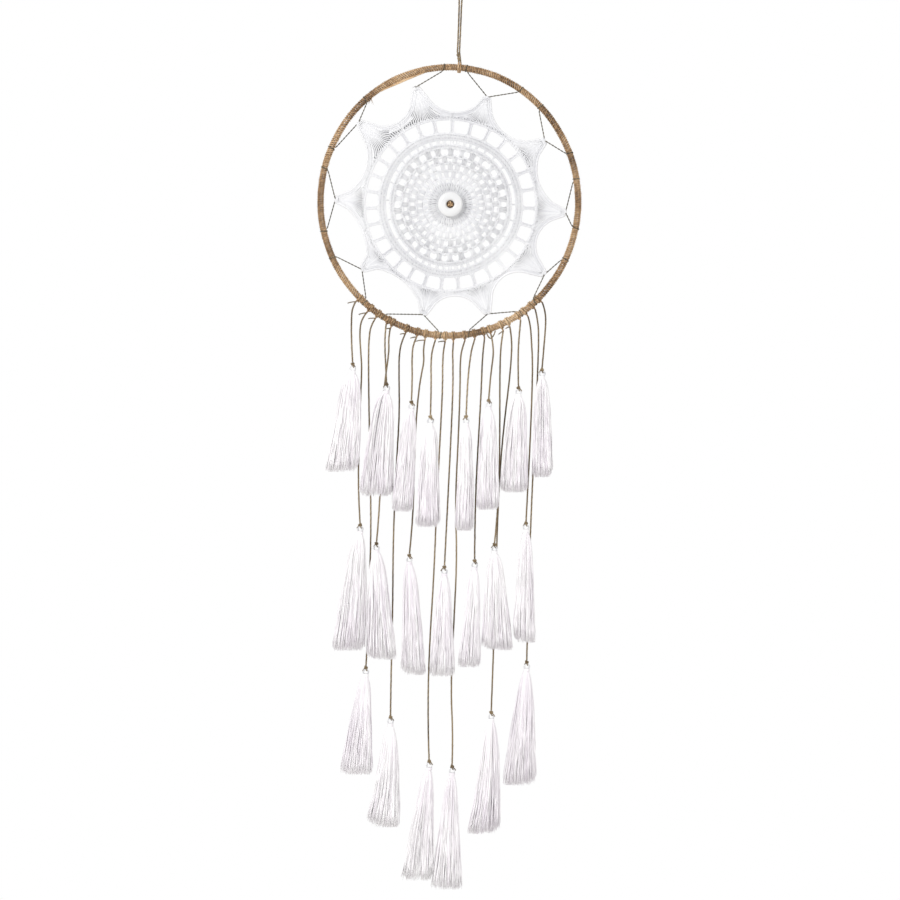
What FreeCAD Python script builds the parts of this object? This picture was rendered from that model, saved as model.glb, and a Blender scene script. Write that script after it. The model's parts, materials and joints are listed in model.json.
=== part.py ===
"""Dream catcher: a wrapped hoop with a crocheted doily laced into it, hung from a cord loop,
with three rows of white tassels on jute strings below.

Frame: millimetres, +Z up, +X to the right seen from the front, +Y to the back. The origin is
the bearing point of the hanging loop, where its inner top rests on a nail.
"""

import FreeCAD, Part
import Sketcher
import math
import os

from FreeCAD import Placement, Rotation, Vector

doc = FreeCAD.newDocument("dream_catcher")

# ------------------------------------------------------------------ driving dimensions

SIZES = [
    ("hoop_centre_x", -14.0),
    ("hoop_centre_z", -268.0),
    ("hoop_half_width", 143.0),
    ("hoop_half_height", 149.0),
    ("wire_diameter", 4.0),
    ("wrap_thickness", 2.1),
    ("doily_centre_x", -13.0),
    ("doily_centre_z", -271.5),
    ("doily_thickness", 2.0),
    ("doily_disc_radius", 97.0),
    ("doily_seam_gap", 0.05),
    ("doily_middle_hole", 8.0),
    ("tip_length", 16.0),
    ("tip_base", 19.0),
    ("tip_width", 5.0),
    ("point_eye_radius", 2.6),
    ("point_eye_hole", 1.3),
    ("window_count", 30),
    ("window_low", 80.5),
    ("window_high", 94.5),
    ("window_width", 14.0),
    ("window_offset", 2.0),
    ("small_hole_count", 60),
    ("small_hole_ring", 69.5),
    ("small_hole_diameter", 4.4),
    ("mesh_hole_count", 30),
    ("mesh_outer_ring", 57.0),
    ("mesh_outer_diameter", 8.0),
    ("mesh_middle_ring", 47.5),
    ("mesh_middle_diameter", 6.4),
    ("mesh_inner_ring", 39.5),
    ("mesh_inner_diameter", 5.0),
    ("bead_diameter", 28.0),
    ("bead_hole", 8.0),
    ("bead_thickness", 9.0),
    ("bead_edge_radius", 3.0),
    ("bead_gap", 1.0),
    ("tie_knot_radius", 3.4),
    ("tie_thread_diameter", 1.6),
    ("tie_back_radius", 6.0),
    ("tie_back_thickness", 2.0),
    ("lacing_diameter", 1.2),
    ("lacing_clearance", 0.35),
    ("lacing_step", 0.5),
    ("lacing_back_reach", 8.0),
    ("lacing_straight_run", 7.2),
    ("string_diameter", 2.0),
    ("hitch_clearance", 0.15),
    ("hitch_turn_spacing", 2.2),
    ("string_gap", 0.35),
    ("side_angle", 35.0),
    ("hanger_diameter", 2.0),
    ("hanger_knot_radius", 2.3),
    ("tassel_knot_radius", 2.0),
    ("tassel_gap", 0.3),
    ("tassel_part_gap", 0.2),
    ("loop_ring_radius", 2.6),
    ("loop_thread_radius", 0.5),
    ("binding_radius", 2.8),
    ("binding_height", 4.0),
    ("neck_half_width", 3.0),
    ("neck_half_depth", 2.6),
    ("shoulder_share", 0.3),
    ("shoulder_fullness", 0.62),
    ("hem_half_depth", 7.0),
    ("front_row_depth", -11.0),
    ("middle_row_depth", 0.0),
    ("back_row_depth", 9.0),
]

sheet = doc.addObject("Spreadsheet::Sheet", "sizes")
for line, (alias, value) in enumerate(SIZES, start=1):
    sheet.set(f"A{line}", alias)
    sheet.set(f"B{line}", str(value))
    sheet.setAlias(f"B{line}", alias)
doc.recompute()


def size(alias):
    """A driving dimension, for the parts whose shape is worked out in code."""
    return float(sheet.get(alias))


HOOP_X, HOOP_Z = size("hoop_centre_x"), size("hoop_centre_z")
DOILY_X, DOILY_Z = size("doily_centre_x"), size("doily_centre_z")
TUBE_RADIUS = size("wire_diameter") / 2 + size("wrap_thickness")
ROW_DEPTH = {
    1: size("front_row_depth"),
    2: size("middle_row_depth"),
    3: size("back_row_depth"),
}
DEPTH_SHARE = 0.5  # how much of the way to its row's depth a string moves at each route point
ROW_SIDE = {1: -1, 2: 0, 3: 1}  # which side of the hoop a row's strings leave it: front, below, back

# Doily points: direction in degrees from +X, distance of the tip from the doily's centre, and
# how far from the centre the hollow that follows it, clockwise, is.
POINTS = [
    (70.8, 127.5, 99.0), (34.0, 128.0, 101.0), (-4.0, 129.5, 102.5), (-36.5, 131.5, 99.0),
    (-71.0, 129.5, 101.0), (-103.7, 127.0, 99.0), (-143.7, 123.0, 101.3),
    (-182.6, 129.0, 101.7), (-222.0, 138.0, 108.0), (-253.6, 137.0, 102.0),
]

# Where the lacing twine leaves and reaches the hoop on either side of each point, in degrees.
# The twine starts at the last point, so it doesn't leave the hoop before that one.
LACING = [
    (83.0, 57.3), (46.0, 22.1), (10.4, -12.0), (-26.4, -49.2), (-57.0, -81.7),
    (-93.5, -119.7), (-130.0, -154.1), (-166.2, -195.0), (-204.2, -230.0), (None, -267.7),
]

HANGER_ANGLE = 85.4  # where the hanging cord is hitched on the hoop

# One line for each string, left to right: its row, where it is hitched on the hoop in degrees,
# and the (x, z) points that it runs through from there down to its tassel's knot.
STRINGS = [
    (1, -133.3, [(-121.5, -386), (-122.5, -399), (-122.5, -422), (-121, -449)]),
    (2, -126.8, [(-111, -398), (-113.5, -410), (-113, -427), (-111, -452), (-112.5, -483),
                 (-114, -530), (-115.5, -586), (-113, -627)]),
    (3, -122.4, [(-101, -405), (-103.5, -419), (-104, -445), (-103.5, -495), (-102, -565),
                 (-101, -640), (-104, -715), (-105.5, -765), (-107, -786)]),
    (1, -117.0, [(-85, -413), (-85.5, -428), (-84.5, -450), (-83.5, -471)]),
    (2, -114.8, [(-81.5, -419), (-81, -435), (-84, -456), (-88, -489), (-90.5, -540),
                 (-90.5, -599), (-95, -648)]),
    (3, -108.3, [(-67, -423), (-70, -438), (-70, -465), (-69.5, -505), (-73, -560),
                 (-76.5, -640), (-77, -720), (-79, -800), (-79.5, -841)]),
    (1, -103.4, [(-54, -426), (-55.5, -441), (-55, -466), (-56, -491)]),
    (2, -99.9, [(-43, -431), (-42, -446), (-46, -464), (-49, -488), (-51.5, -520),
                (-53, -567), (-54.5, -622), (-58.5, -661)]),
    (1, -95.7, [(-32.5, -431), (-34.5, -445), (-34, -475), (-35, -507)]),
    (3, -91.7, [(-20.5, -432), (-21.5, -447), (-21.5, -475), (-24, -525), (-28, -600),
                (-31, -680), (-37, -775), (-38, -850), (-36.5, -890)]),
    (2, -88.4, [(-10.5, -434), (-10, -448), (-10, -475), (-12, -525), (-16, -605), (-19.5, -674)]),
    (3, -83.7, [(0, -431), (-2, -445), (-2, -475), (-4, -530), (-7.5, -600), (-5.5, -665),
                (-9, -735), (-12.5, -810), (-10, -860), (-11, -896)]),
    (1, -79.6, [(11.5, -429), (9, -442), (6, -470), (4.5, -507)]),
    (2, -75.7, [(24, -429), (22.5, -445), (21.5, -475), (19, -520), (14.5, -600), (14, -667)]),
    (1, -72.8, [(34, -424), (35, -438), (31.5, -462), (29.5, -489)]),
    (2, -67.6, [(44, -422), (42.5, -439), (42, -470), (42, -530), (41, -600), (36, -649)]),
    (3, -64.3, [(55, -417), (55.5, -433), (53, -465), (48, -505), (43.5, -550), (40, -610),
                (37.5, -690), (35, -770), (32.5, -836)]),
    (1, -59.1, [(64, -411), (62.5, -427), (62, -450), (62.5, -475)]),
    (2, -55.6, [(76, -405), (77, -421), (78.5, -447), (77.5, -490), (74.5, -560), (71, -625)]),
    (3, -51.2, [(84, -398), (85.5, -415), (84.5, -450), (82, -510), (78, -590), (74.5, -680),
                (72, -780)]),
    (1, -47.1, [(92, -389), (93, -402), (91, -426), (88.5, -455)]),
]

# One line for each tassel, in the same order: its length below the knot, the half width of its
# hem, and how far its hem hangs to the right of its knot.
TASSELS = [
    (115, 15.5, -11.5), (135, 16.0, -13.2), (115, 16.5, -10.4), (120, 16.5, -11.7),
    (124, 15.2, 4.7), (118, 17.0, -9.0), (117, 10.2, -10.4), (128, 11.7, 4.8),
    (118, 12.0, -2.5), (128, 15.7, -13.0), (117, 12.0, -2.7), (132, 14.7, -6.4),
    (122, 9.0, -2.0), (114, 10.0, -6.1), (117, 11.0, -1.1), (113, 15.2, 2.7),
    (130, 16.5, -8.2), (112, 13.5, -5.1), (128, 11.0, -2.0), (132, 17.5, -8.7),
    (115, 10.2, 0.9),
]

HANGER_KNOTS = [(-3.9, -105.6), (-3.2, -110.0)]  # the two knots under the hanging loop, (x, z)

# The hanging cord, in the plane of the hoop: (x, z) up the left leg, over the nail and down.
HANGER_ROUTE = [
    (-5.0, -103), (-3.8, -76), (-2.9, -44), (-3.2, -24), (-3.3, -10), (-3.1, 1.0),
    (3.1, 1.0), (3.2, -10), (1.9, -24), (-0.3, -44), (-1.5, -76), (-2.8, -103),
]


# ------------------------------------------------------------------ helpers

def circular(angle, radius=1.0):
    """The point at this direction in degrees and distance, in the plane of the hoop."""
    turn = math.radians(angle)
    return Vector(radius * math.cos(turn), 0, radius * math.sin(turn))


def named(shape, name, place=Placement()):
    """A Part::Feature that holds a shape worked out in code."""
    feature = doc.addObject("Part::Feature", name)
    feature.Shape = shape
    feature.Label = name
    feature.Placement = place
    return feature


def bind(thing, **expressions):
    """Bind properties of a document object to the driving dimensions."""
    for prop, expression in expressions.items():
        thing.setExpression(prop.replace("__", "."), expression)


def group(name, members):
    """One node made of several separate solids."""
    compound = doc.addObject("Part::Compound", name)
    compound.Label = name
    compound.Links = members
    return compound


STRAIGHT_ENOUGH = 1e-6  # half of a corner's turn, in radians, below which there's no corner


def rounded_wire(points, share=0.45):
    """Straight runs through the points, joined by tangent arcs as large as the runs allow."""
    edges = []
    radii = []
    start = points[0]
    for before, here, after in zip(points, points[1:], points[2:]):
        arriving = here - before
        leaving = after - here
        shorter = min(arriving.Length, leaving.Length)
        half_turn = arriving.getAngle(leaving) / 2
        if half_turn < STRAIGHT_ENOUGH:
            continue
        cut = share * shorter
        radius = cut / math.tan(half_turn)
        arriving.normalize()
        leaving.normalize()
        arc_start = here - arriving * cut
        arc_end = here + leaving * cut
        inward = leaving - arriving
        inward.normalize()
        middle = here + inward * (radius / math.cos(half_turn) - radius)
        edges.append(Part.LineSegment(start, arc_start).toShape())
        edges.append(Part.Arc(arc_start, middle, arc_end).toShape())
        radii.append(radius)
        start = arc_end
    edges.append(Part.LineSegment(start, points[-1]).toShape())
    return Part.Wire(edges), radii


def cord_tube(name, points, diameter):
    """A round cord's solid along its route; prints its length, tightest arc and volume check."""
    path, radii = rounded_wire(points)
    direction = points[1] - points[0]
    section = Part.Wire(Part.makeCircle(diameter / 2, points[0], direction))
    tube = path.makePipeShell([section], True, True)
    expected = math.pi * diameter ** 2 / 4 * path.Length
    print(f"{name}: length {path.Length:.0f} mm, tightest arc {min(radii):.1f} mm, "
          f"volume {tube.Volume / expected:.4f} of section x length")
    if abs(tube.Volume / expected - 1) > 0.01:
        raise RuntimeError(f"{name} has the wrong volume")
    return tube


# ------------------------------------------------------------------ the oval of the hoop

# The oval is four tangent arcs: the side arcs' centres and the top and bottom arcs' centres
# lie this far from the middle, and the arcs meet on the diagonals through those centres.
ARC_OFFSET = (size("hoop_half_height") - size("hoop_half_width")) / (2 - math.sqrt(2))
SIDE_ARC = size("hoop_half_width") + ARC_OFFSET
END_ARC = size("hoop_half_height") - ARC_OFFSET


def hoop_place(angle):
    """The centreline point of the hoop in this direction from its middle, and outward there."""
    wide = size("hoop_half_width") ** 2
    tall = size("hoop_half_height") ** 2
    turn = math.radians(angle)
    facing = math.atan2(wide * math.sin(turn), tall * math.cos(turn))
    outward = Vector(math.cos(facing), 0, math.sin(facing))
    if abs(outward.x) > abs(outward.z):
        centre = Vector(-math.copysign(ARC_OFFSET, outward.x), 0, 0)
        radius = SIDE_ARC
    else:
        centre = Vector(0, 0, math.copysign(ARC_OFFSET, outward.z))
        radius = END_ARC
    return Vector(HOOP_X, 0, HOOP_Z) + centre + outward * radius, outward


def origin_plane(body, role):
    """One of the body's own origin planes, found by its role."""
    return next(plane for plane in body.Origin.OriginFeatures if plane.Role == role)


def flat_sketch(body, name, role):
    """A sketch on one of the body's origin planes."""
    sketch = body.newObject("Sketcher::SketchObject", name)
    sketch.AttachmentSupport = (origin_plane(body, role), [""])
    sketch.MapMode = "FlatFace"
    return sketch


def constrain(sketch, kind, *values, to=None):
    """Add a constraint and bind its value to an expression."""
    number = sketch.addConstraint(Sketcher.Constraint(kind, *values))
    if to is not None:
        sketch.setExpression(f"Constraints[{number}]", to)


def draw_rectangle(sketch, left, right, low, high):
    """An upright rectangle between four expressions, measured from the sketch's origin."""
    corners = [Vector(1, 1, 0), Vector(2, 1, 0), Vector(2, 2, 0), Vector(1, 2, 0)]
    for number, corner in enumerate(corners):
        sketch.addGeometry(Part.LineSegment(corner, corners[(number + 1) % 4]))
    for number in range(4):
        constrain(sketch, "Coincident", number, 2, (number + 1) % 4, 1)
    for number in range(4):
        constrain(sketch, "Horizontal" if number % 2 == 0 else "Vertical", number)
    constrain(sketch, "DistanceX", -1, 1, 0, 1, 1.0, to=left)
    constrain(sketch, "DistanceX", -1, 1, 0, 2, 2.0, to=right)
    constrain(sketch, "DistanceY", -1, 1, 0, 1, 1.0, to=low)
    constrain(sketch, "DistanceY", -1, 1, 2, 1, 2.0, to=high)


# ------------------------------------------------------------------ hoop

def oval_sketch(body):
    """The hoop's centreline: four tangent arcs about the body's origin."""
    sketch = flat_sketch(body, body.Name + "_path", "XZ_Plane")
    for quarter in range(4):
        middle = quarter * math.pi / 2
        outward = Vector(math.cos(middle), math.sin(middle), 0)
        offset = -ARC_OFFSET if quarter % 2 == 0 else ARC_OFFSET
        radius = SIDE_ARC if quarter % 2 == 0 else END_ARC
        circle = Part.Circle(outward * offset, Vector(0, 0, 1), radius)
        sketch.addGeometry(Part.ArcOfCircle(circle, middle - math.pi / 4, middle + math.pi / 4))
    return sketch


def follow_oval(body, path, kind, name, diameter):
    """Sweep a circle of this diameter, an expression, along the oval."""
    profile = flat_sketch(body, name + "_profile", "XY_Plane")
    number = profile.addGeometry(Part.Circle(Vector(1, 0, 0), Vector(0, 0, 1), 1.0))
    constrain(profile, "Diameter", number, 2.0, to=diameter)
    constrain(profile, "DistanceX", -1, 1, number, 3, 1.0, to="sizes.hoop_half_width")
    constrain(profile, "PointOnObject", number, 3, -1)
    doc.recompute()
    pipe = body.newObject(kind, name)
    pipe.Profile = profile
    pipe.Spine = path
    body.Tip = pipe


def make_body(name):
    body = doc.addObject("PartDesign::Body", name)
    body.Label = name
    return body


def make_hoop_core():
    """The steel wire ring."""
    body = make_body("hoop_core")
    follow_oval(body, oval_sketch(body), "PartDesign::AdditivePipe", "ring", "sizes.wire_diameter")
    place_at(body, "hoop")
    return body


def make_hoop_wrap():
    """The jute wound closely round the ring, as a sleeve."""
    body = make_body("hoop_wrap")
    path = oval_sketch(body)
    outer = "sizes.wire_diameter + 2 * sizes.wrap_thickness"
    follow_oval(body, path, "PartDesign::AdditivePipe", "sleeve", outer)
    follow_oval(body, path, "PartDesign::SubtractivePipe", "sleeve_bore", "sizes.wire_diameter")
    place_at(body, "hoop")
    return body


def place_at(thing, centre):
    """Place a part at the middle of the hoop or of the doily."""
    thing.setExpression("Placement.Base.x", f"sizes.{centre}_centre_x")
    thing.setExpression("Placement.Base.z", f"sizes.{centre}_centre_z")


# ------------------------------------------------------------------ doily

def beside(angle, reach, aside):
    """A point this far out along a direction and this far to its left, in sketch coordinates."""
    along = circular(angle, reach) + circular(angle + 90, aside)
    return Vector(along.x, along.z, 0)


def doily_outline(sketch):
    """Ten tapering points with straight tips, and a hollow scallop, an arc, between each two."""
    taper, half_base, half_tip = size("tip_length"), size("tip_base") / 2, size("tip_width") / 2
    for number, (angle, reach, hollow) in enumerate(POINTS):
        next_angle, next_reach = POINTS[(number + 1) % len(POINTS)][:2]
        if next_angle > angle:
            next_angle -= 360
        left_base = beside(angle, reach - taper, half_base)
        left_tip = beside(angle, reach, half_tip)
        right_tip = beside(angle, reach, -half_tip)
        right_base = beside(angle, reach - taper, -half_base)
        valley = beside((angle + next_angle) / 2, hollow, 0)
        far_side = beside(next_angle, next_reach - taper, half_base)
        sketch.addGeometry(Part.LineSegment(left_base, left_tip))
        sketch.addGeometry(Part.LineSegment(left_tip, right_tip))
        sketch.addGeometry(Part.LineSegment(right_tip, right_base))
        sketch.addGeometry(Part.Arc(right_base, valley, far_side))


def eye_centre(angle, reach):
    """The middle of the eye in a point's tip, which the lacing goes through."""
    return circular(angle, reach - size("point_eye_radius") / 2)


def pad(body, sketch, length):
    """A flat piece of this thickness, half of it on each side of the sketch."""
    feature = body.newObject("PartDesign::Pad", sketch.Name + "_pad")
    feature.Profile = sketch
    feature.setExpression("Length", length)
    feature.Midplane = True
    body.Tip = feature
    return feature


def pocket_through(body, sketch):
    """Cut the sketch right through, both ways, and check that it removed something."""
    before = body.Shape.Volume
    feature = body.newObject("PartDesign::Pocket", sketch.Name + "_pocket")
    feature.Profile = sketch
    feature.Type = "ThroughAll"
    feature.Midplane = True
    body.Tip = feature
    doc.recompute()
    if body.Shape.Volume > before - 1:
        raise RuntimeError(f"{sketch.Name} cut nothing")
    return feature


def ring_of(body, feature, axis_sketch, count):
    """Repeat a cut all round the middle."""
    pattern = body.newObject("PartDesign::PolarPattern", feature.Name + "_ring")
    pattern.Originals = [feature]
    pattern.Axis = (axis_sketch, ["N_Axis"])
    pattern.Angle = 360
    pattern.setExpression("Occurrences", count)
    body.Tip = pattern
    doc.recompute()
    return pattern


def draw_centred_circle(sketch, diameter):
    """A circle about the sketch's origin, whose diameter is an expression."""
    number = sketch.addGeometry(Part.Circle(Vector(0, 0, 0), Vector(0, 0, 1), 1.0))
    constrain(sketch, "Coincident", number, 3, -1, 1)
    constrain(sketch, "Diameter", number, 2.0, to=diameter)


def make_doily():
    """The crocheted disc: rings of openings round a middle hole."""
    body = make_body("doily")
    disc = flat_sketch(body, "disc", "XZ_Plane")
    draw_centred_circle(disc, "2 * sizes.doily_disc_radius")
    pad(body, disc, "sizes.doily_thickness")
    doc.recompute()
    middle_hole = flat_sketch(body, "middle_hole", "XZ_Plane")
    draw_centred_circle(middle_hole, "sizes.doily_middle_hole")
    pocket_through(body, middle_hole)
    window = flat_sketch(body, "window", "XZ_Plane")
    draw_rectangle(window, "sizes.window_low", "sizes.window_high",
                   "sizes.window_offset", "sizes.window_offset + sizes.window_width")
    ring_of(body, pocket_through(body, window), window, "sizes.window_count")
    for ring in ("small_hole", "mesh_outer", "mesh_middle", "mesh_inner"):
        hole = flat_sketch(body, ring, "XZ_Plane")
        circle = hole.addGeometry(Part.Circle(Vector(1, 0, 0), Vector(0, 0, 1), 1.0))
        constrain(hole, "Diameter", circle, 2.0, to=f"sizes.{ring}_diameter")
        constrain(hole, "DistanceX", -1, 1, circle, 3, 1.0, to=f"sizes.{ring}_ring")
        constrain(hole, "PointOnObject", circle, 3, -1)
        count = "small_hole_count" if ring == "small_hole" else "mesh_hole_count"
        ring_of(body, pocket_through(body, hole), hole, f"sizes.{count}")
    place_at(body, "doily")
    return body


def make_doily_points():
    """The edging crocheted round the disc: ten points, each with an eye in its tip."""
    body = make_body("doily_points")
    star = flat_sketch(body, "star", "XZ_Plane")
    doily_outline(star)
    draw_centred_circle(star, "2 * (sizes.doily_disc_radius + sizes.doily_seam_gap)")
    pad(body, star, "sizes.doily_thickness")
    eyes = flat_sketch(body, "point_eyes", "XZ_Plane")
    holes = flat_sketch(body, "point_eye_holes", "XZ_Plane")
    for angle, reach, _ in POINTS:
        middle = eye_centre(angle, reach)
        flat = Vector(middle.x, middle.z, 0)
        eyes.addGeometry(Part.Circle(flat, Vector(0, 0, 1), size("point_eye_radius")))
        holes.addGeometry(Part.Circle(flat, Vector(0, 0, 1), size("point_eye_hole")))
    doc.recompute()
    pad(body, eyes, "sizes.doily_thickness")
    doc.recompute()
    pocket_through(body, holes)
    place_at(body, "doily")
    return body


# ------------------------------------------------------------------ bead and its tie

def make_centre_bead():
    """The round glossy bead on the doily's middle, turned about an axis that faces the front."""
    body = make_body("centre_bead")
    profile = flat_sketch(body, "bead_section", "XY_Plane")
    draw_rectangle(profile, "sizes.bead_hole / 2", "sizes.bead_diameter / 2",
                   "sizes.bead_gap", "sizes.bead_gap + sizes.bead_thickness")
    turned = body.newObject("PartDesign::Revolution", "bead_turned")
    turned.Profile = profile
    turned.ReferenceAxis = (profile, ["V_Axis"])
    turned.Angle = 360
    body.Tip = turned
    doc.recompute()
    rims = [f"Edge{number}" for number, edge in enumerate(turned.Shape.Edges, start=1)
            if isinstance(edge.Curve, Part.Circle) and edge.Closed]
    rounded = body.newObject("PartDesign::Fillet", "bead_rounding")
    rounded.Base = (turned, rims)
    bind(rounded, Radius="sizes.bead_edge_radius")
    body.Tip = rounded
    place_at(body, "doily")
    front = "-sizes.doily_thickness / 2 - sizes.bead_thickness - sizes.bead_gap"
    body.setExpression("Placement.Base.y", front)
    return body


def make_bead_tie():
    """The twine that holds the bead: a knot in its hole, a strand through and a knot behind."""
    half_doily = size("doily_thickness") / 2
    middle = Vector(DOILY_X, -half_doily - size("bead_thickness") / 2, DOILY_Z)
    back = Vector(DOILY_X, half_doily, DOILY_Z)
    length = back.y - middle.y
    backward = Vector(0, 1, 0)
    knot = Part.makeSphere(size("tie_knot_radius"), middle)
    strand = Part.makeCylinder(size("tie_thread_diameter") / 2, length, middle, backward)
    rear = Part.makeCylinder(size("tie_back_radius"), size("tie_back_thickness"), back, backward)
    return named(knot.fuse([strand, rear]), "bead_tie")


# ------------------------------------------------------------------ lacing

def straight_leg(start, end):
    """Two points that keep a leg of twine straight, each a short run from one of its ends."""
    run = end - start
    run.normalize()
    run *= size("lacing_straight_run")
    return [start + run, end - run]


def lacing_route():
    """The twine's corners: it starts at the last point's eye and goes clockwise round the hoop."""
    inner_turn = TUBE_RADIUS + size("lacing_diameter") / 2 + size("lacing_clearance")
    back, front = Vector(0, inner_turn, 0), Vector(0, -inner_turn, 0)
    behind = Vector(0, size("lacing_back_reach"), 0)  # the way from one turn to the next
    step = size("lacing_step")

    def around(angle, corners, first=0):
        """Corners of a squared turn about the hoop, each a step further clockwise."""
        middle, outward = hoop_place(angle)
        onward = Vector(outward.z, 0, -outward.x)
        return [middle + outward * inner_turn * away + side + onward * step * number
                for number, (away, side) in enumerate(corners, start=first)]

    route = []
    last = len(POINTS) - 1
    for number in [last, *range(last)]:
        leave, reach = LACING[number]
        eye = Vector(DOILY_X, 0, DOILY_Z) + eye_centre(*POINTS[number][:2])
        through = Vector(0, size("doily_thickness"), 0)
        if leave is not None:
            turn_off = [(0, behind), (-1, back), (-1, front), (1, front), (1, back), (-1, back)]
            route += around(leave, turn_off, first=-1)
            route += straight_leg(route[-1], eye + through)
        after = (-1, back) if number == last - 1 else (0, behind)
        turn_on = around(reach, [(-1, front), (1, front), (1, back), after])
        route += [eye + through, eye - through] + straight_leg(eye - through, turn_on[0]) + turn_on
    return route


def make_lacing():
    return named(cord_tube("lacing_twine", lacing_route(), size("lacing_diameter")), "lacing_twine")


# ------------------------------------------------------------------ hitches and hanging cord

def hitch_turns(angle):
    """Two turns of cord round the hoop, side by side."""
    middle, outward = hoop_place(angle)
    along = Vector(outward.z, 0, -outward.x)
    half_space = along * size("hitch_turn_spacing") / 2
    cord = size("string_diameter") / 2
    ring = TUBE_RADIUS + size("hitch_clearance") + cord
    return [Part.makeTorus(ring, cord, middle + aside, along) for aside in (half_space, -half_space)]


def hitch_reach():
    """How far a hitch stands out from the hoop's centreline."""
    return TUBE_RADIUS + size("hitch_clearance") + size("string_diameter")


def make_hitches():
    turns = [turn for row, angle, route in STRINGS for turn in hitch_turns(angle)]
    return named(Part.makeCompound(turns), "string_hitches")


def make_hanger():
    """The hanging loop, the two knots under it and the hitch that grips the hoop."""
    route = [Vector(x, 0, z) for x, z in HANGER_ROUTE]
    loop = named(cord_tube("hanging_loop", route, size("hanger_diameter")), "hanging_loop")
    knots = []
    for number, (x, z) in enumerate(HANGER_KNOTS, start=1):
        knot = doc.addObject("Part::Sphere", f"hanger_knot_{number}")
        bind(knot, Radius="sizes.hanger_knot_radius")
        knot.Placement = Placement(Vector(x, 0, z), Rotation())
        knots.append(knot)
    hitch = named(Part.makeCompound(hitch_turns(HANGER_ANGLE)), "hanger_hitch")
    return [loop, group("hanging_knot", knots), hitch]


# ------------------------------------------------------------------ strings and tassels

def string_route(number):
    """The whole route of a string: out of its hitch on its row's side, then down."""
    row, angle, below = STRINGS[number]
    middle, outward = hoop_place(angle)
    reach = hitch_reach() + size("string_gap") + size("string_diameter") / 2
    slant = math.radians(size("side_angle")) * ROW_SIDE[row]
    start = middle + outward * reach * math.cos(slant) + Vector(0, reach * math.sin(slant), 0)
    route = [start]
    depth = start.y
    for x, z in below:
        depth += (ROW_DEPTH[row] - depth) * DEPTH_SHARE
        route.append(Vector(x, depth, z))
    route[-1].y = ROW_DEPTH[row]
    return route


def make_string(number):
    """A string's tube with a ball end at the hitch, where it swings; it stops above its knot."""
    name = f"string_{number + 1:02d}"
    route = string_route(number)
    last_run = route[-2] - route[-1]
    last_run.normalize()
    knot = route[-1]
    route[-1] = knot + last_run * (size("tassel_knot_radius") + size("tassel_gap"))
    tube = cord_tube(name, route, size("string_diameter"))
    ball = Part.makeSphere(size("string_diameter") / 2, route[0])
    return named(tube.fuse(ball), name)


def make_tassel(number):
    """A tassel below its knot: knot, thread loop, neck binding and the skirt of threads."""
    name = f"tassel_{number + 1:02d}"
    length, half_hem, lean = TASSELS[number]
    knot_place = string_route(number)[-1]

    def part_at(kind, suffix, down, across=0.0):
        piece = doc.addObject(kind, f"{name}_{suffix}")
        piece.Placement = Placement(knot_place + Vector(across, 0, -down), Rotation())
        return piece

    knot = part_at("Part::Sphere", "knot", 0)
    bind(knot, Radius="sizes.tassel_knot_radius")
    ring_drop = size("tassel_knot_radius") + size("loop_ring_radius") + size("loop_thread_radius")
    ring_drop += size("tassel_part_gap")
    ring = part_at("Part::Torus", "loop", ring_drop)
    ring.Placement.Rotation = Rotation(Vector(1, 0, 0), 90)
    bind(ring, Radius1="sizes.loop_ring_radius", Radius2="sizes.loop_thread_radius")
    ring_end = ring_drop + size("loop_ring_radius") + size("loop_thread_radius")
    ring_end += size("tassel_part_gap")
    binding = part_at("Part::Cylinder", "binding", ring_end + size("binding_height"))
    bind(binding, Radius="sizes.binding_radius", Height="sizes.binding_height")
    skirt_top = ring_end + size("binding_height") + size("tassel_part_gap")
    skirt_length = length - skirt_top
    depth = "sizes.hem_half_depth"
    sections = []
    for suffix, share, width, thick in (
        ("neck", 0.0, "sizes.neck_half_width", "sizes.neck_half_depth"),
        ("shoulder", size("shoulder_share"), f"{half_hem} * sizes.shoulder_fullness",
         depth + " * sizes.shoulder_fullness"),
        ("hem", 1.0, f"{half_hem}", depth),
    ):
        down = skirt_top + share * skirt_length
        oval = part_at("Part::Ellipse", suffix, down, lean * down / length)
        bind(oval, MajorRadius=width, MinorRadius=thick)
        sections.append(oval)
    skirt = doc.addObject("Part::Loft", name + "_skirt")
    skirt.Sections = sections
    skirt.Solid = True
    return group(name, [knot, ring, binding, skirt])


# ------------------------------------------------------------------ the whole object

def build():
    nodes = [make_hoop_core(), make_hoop_wrap(), make_doily(), make_doily_points()]
    nodes += [make_centre_bead(), make_bead_tie(), make_lacing(), make_hitches()] + make_hanger()
    nodes += [make_string(number) for number in range(len(STRINGS))]
    nodes += [make_tassel(number) for number in range(len(TASSELS))]
    doc.recompute()
    return nodes


def check(nodes):
    """Stop if any feature failed, or any sub-part's shape is missing or not valid."""
    for thing in doc.Objects:
        if "Invalid" in thing.State or "Error" in thing.State:
            raise RuntimeError(f"{thing.Label} failed: {thing.State}")
    for node in nodes:
        if node.Shape.isNull() or not node.Shape.isValid() or not node.Shape.Solids:
            raise RuntimeError(f"{node.Label} has no valid solid")


def export(nodes):
    os.makedirs("parts", exist_ok=True)
    for node in nodes:
        node.Shape.exportStep(f"parts/{node.Label}.step")
        print(f"{node.Label}: {len(node.Shape.Solids)} solids, {node.Shape.Volume:.0f} mm3")


NODES = build()
check(NODES)
export(NODES)
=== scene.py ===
"""Dream catcher: the visual model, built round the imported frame.

Everything is in metres in the frame's axes: +Z up, +X to the right seen from the front and
+Y to the back. The origin is where the hanging loop rests on its nail.
"""

import json
import math

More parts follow.
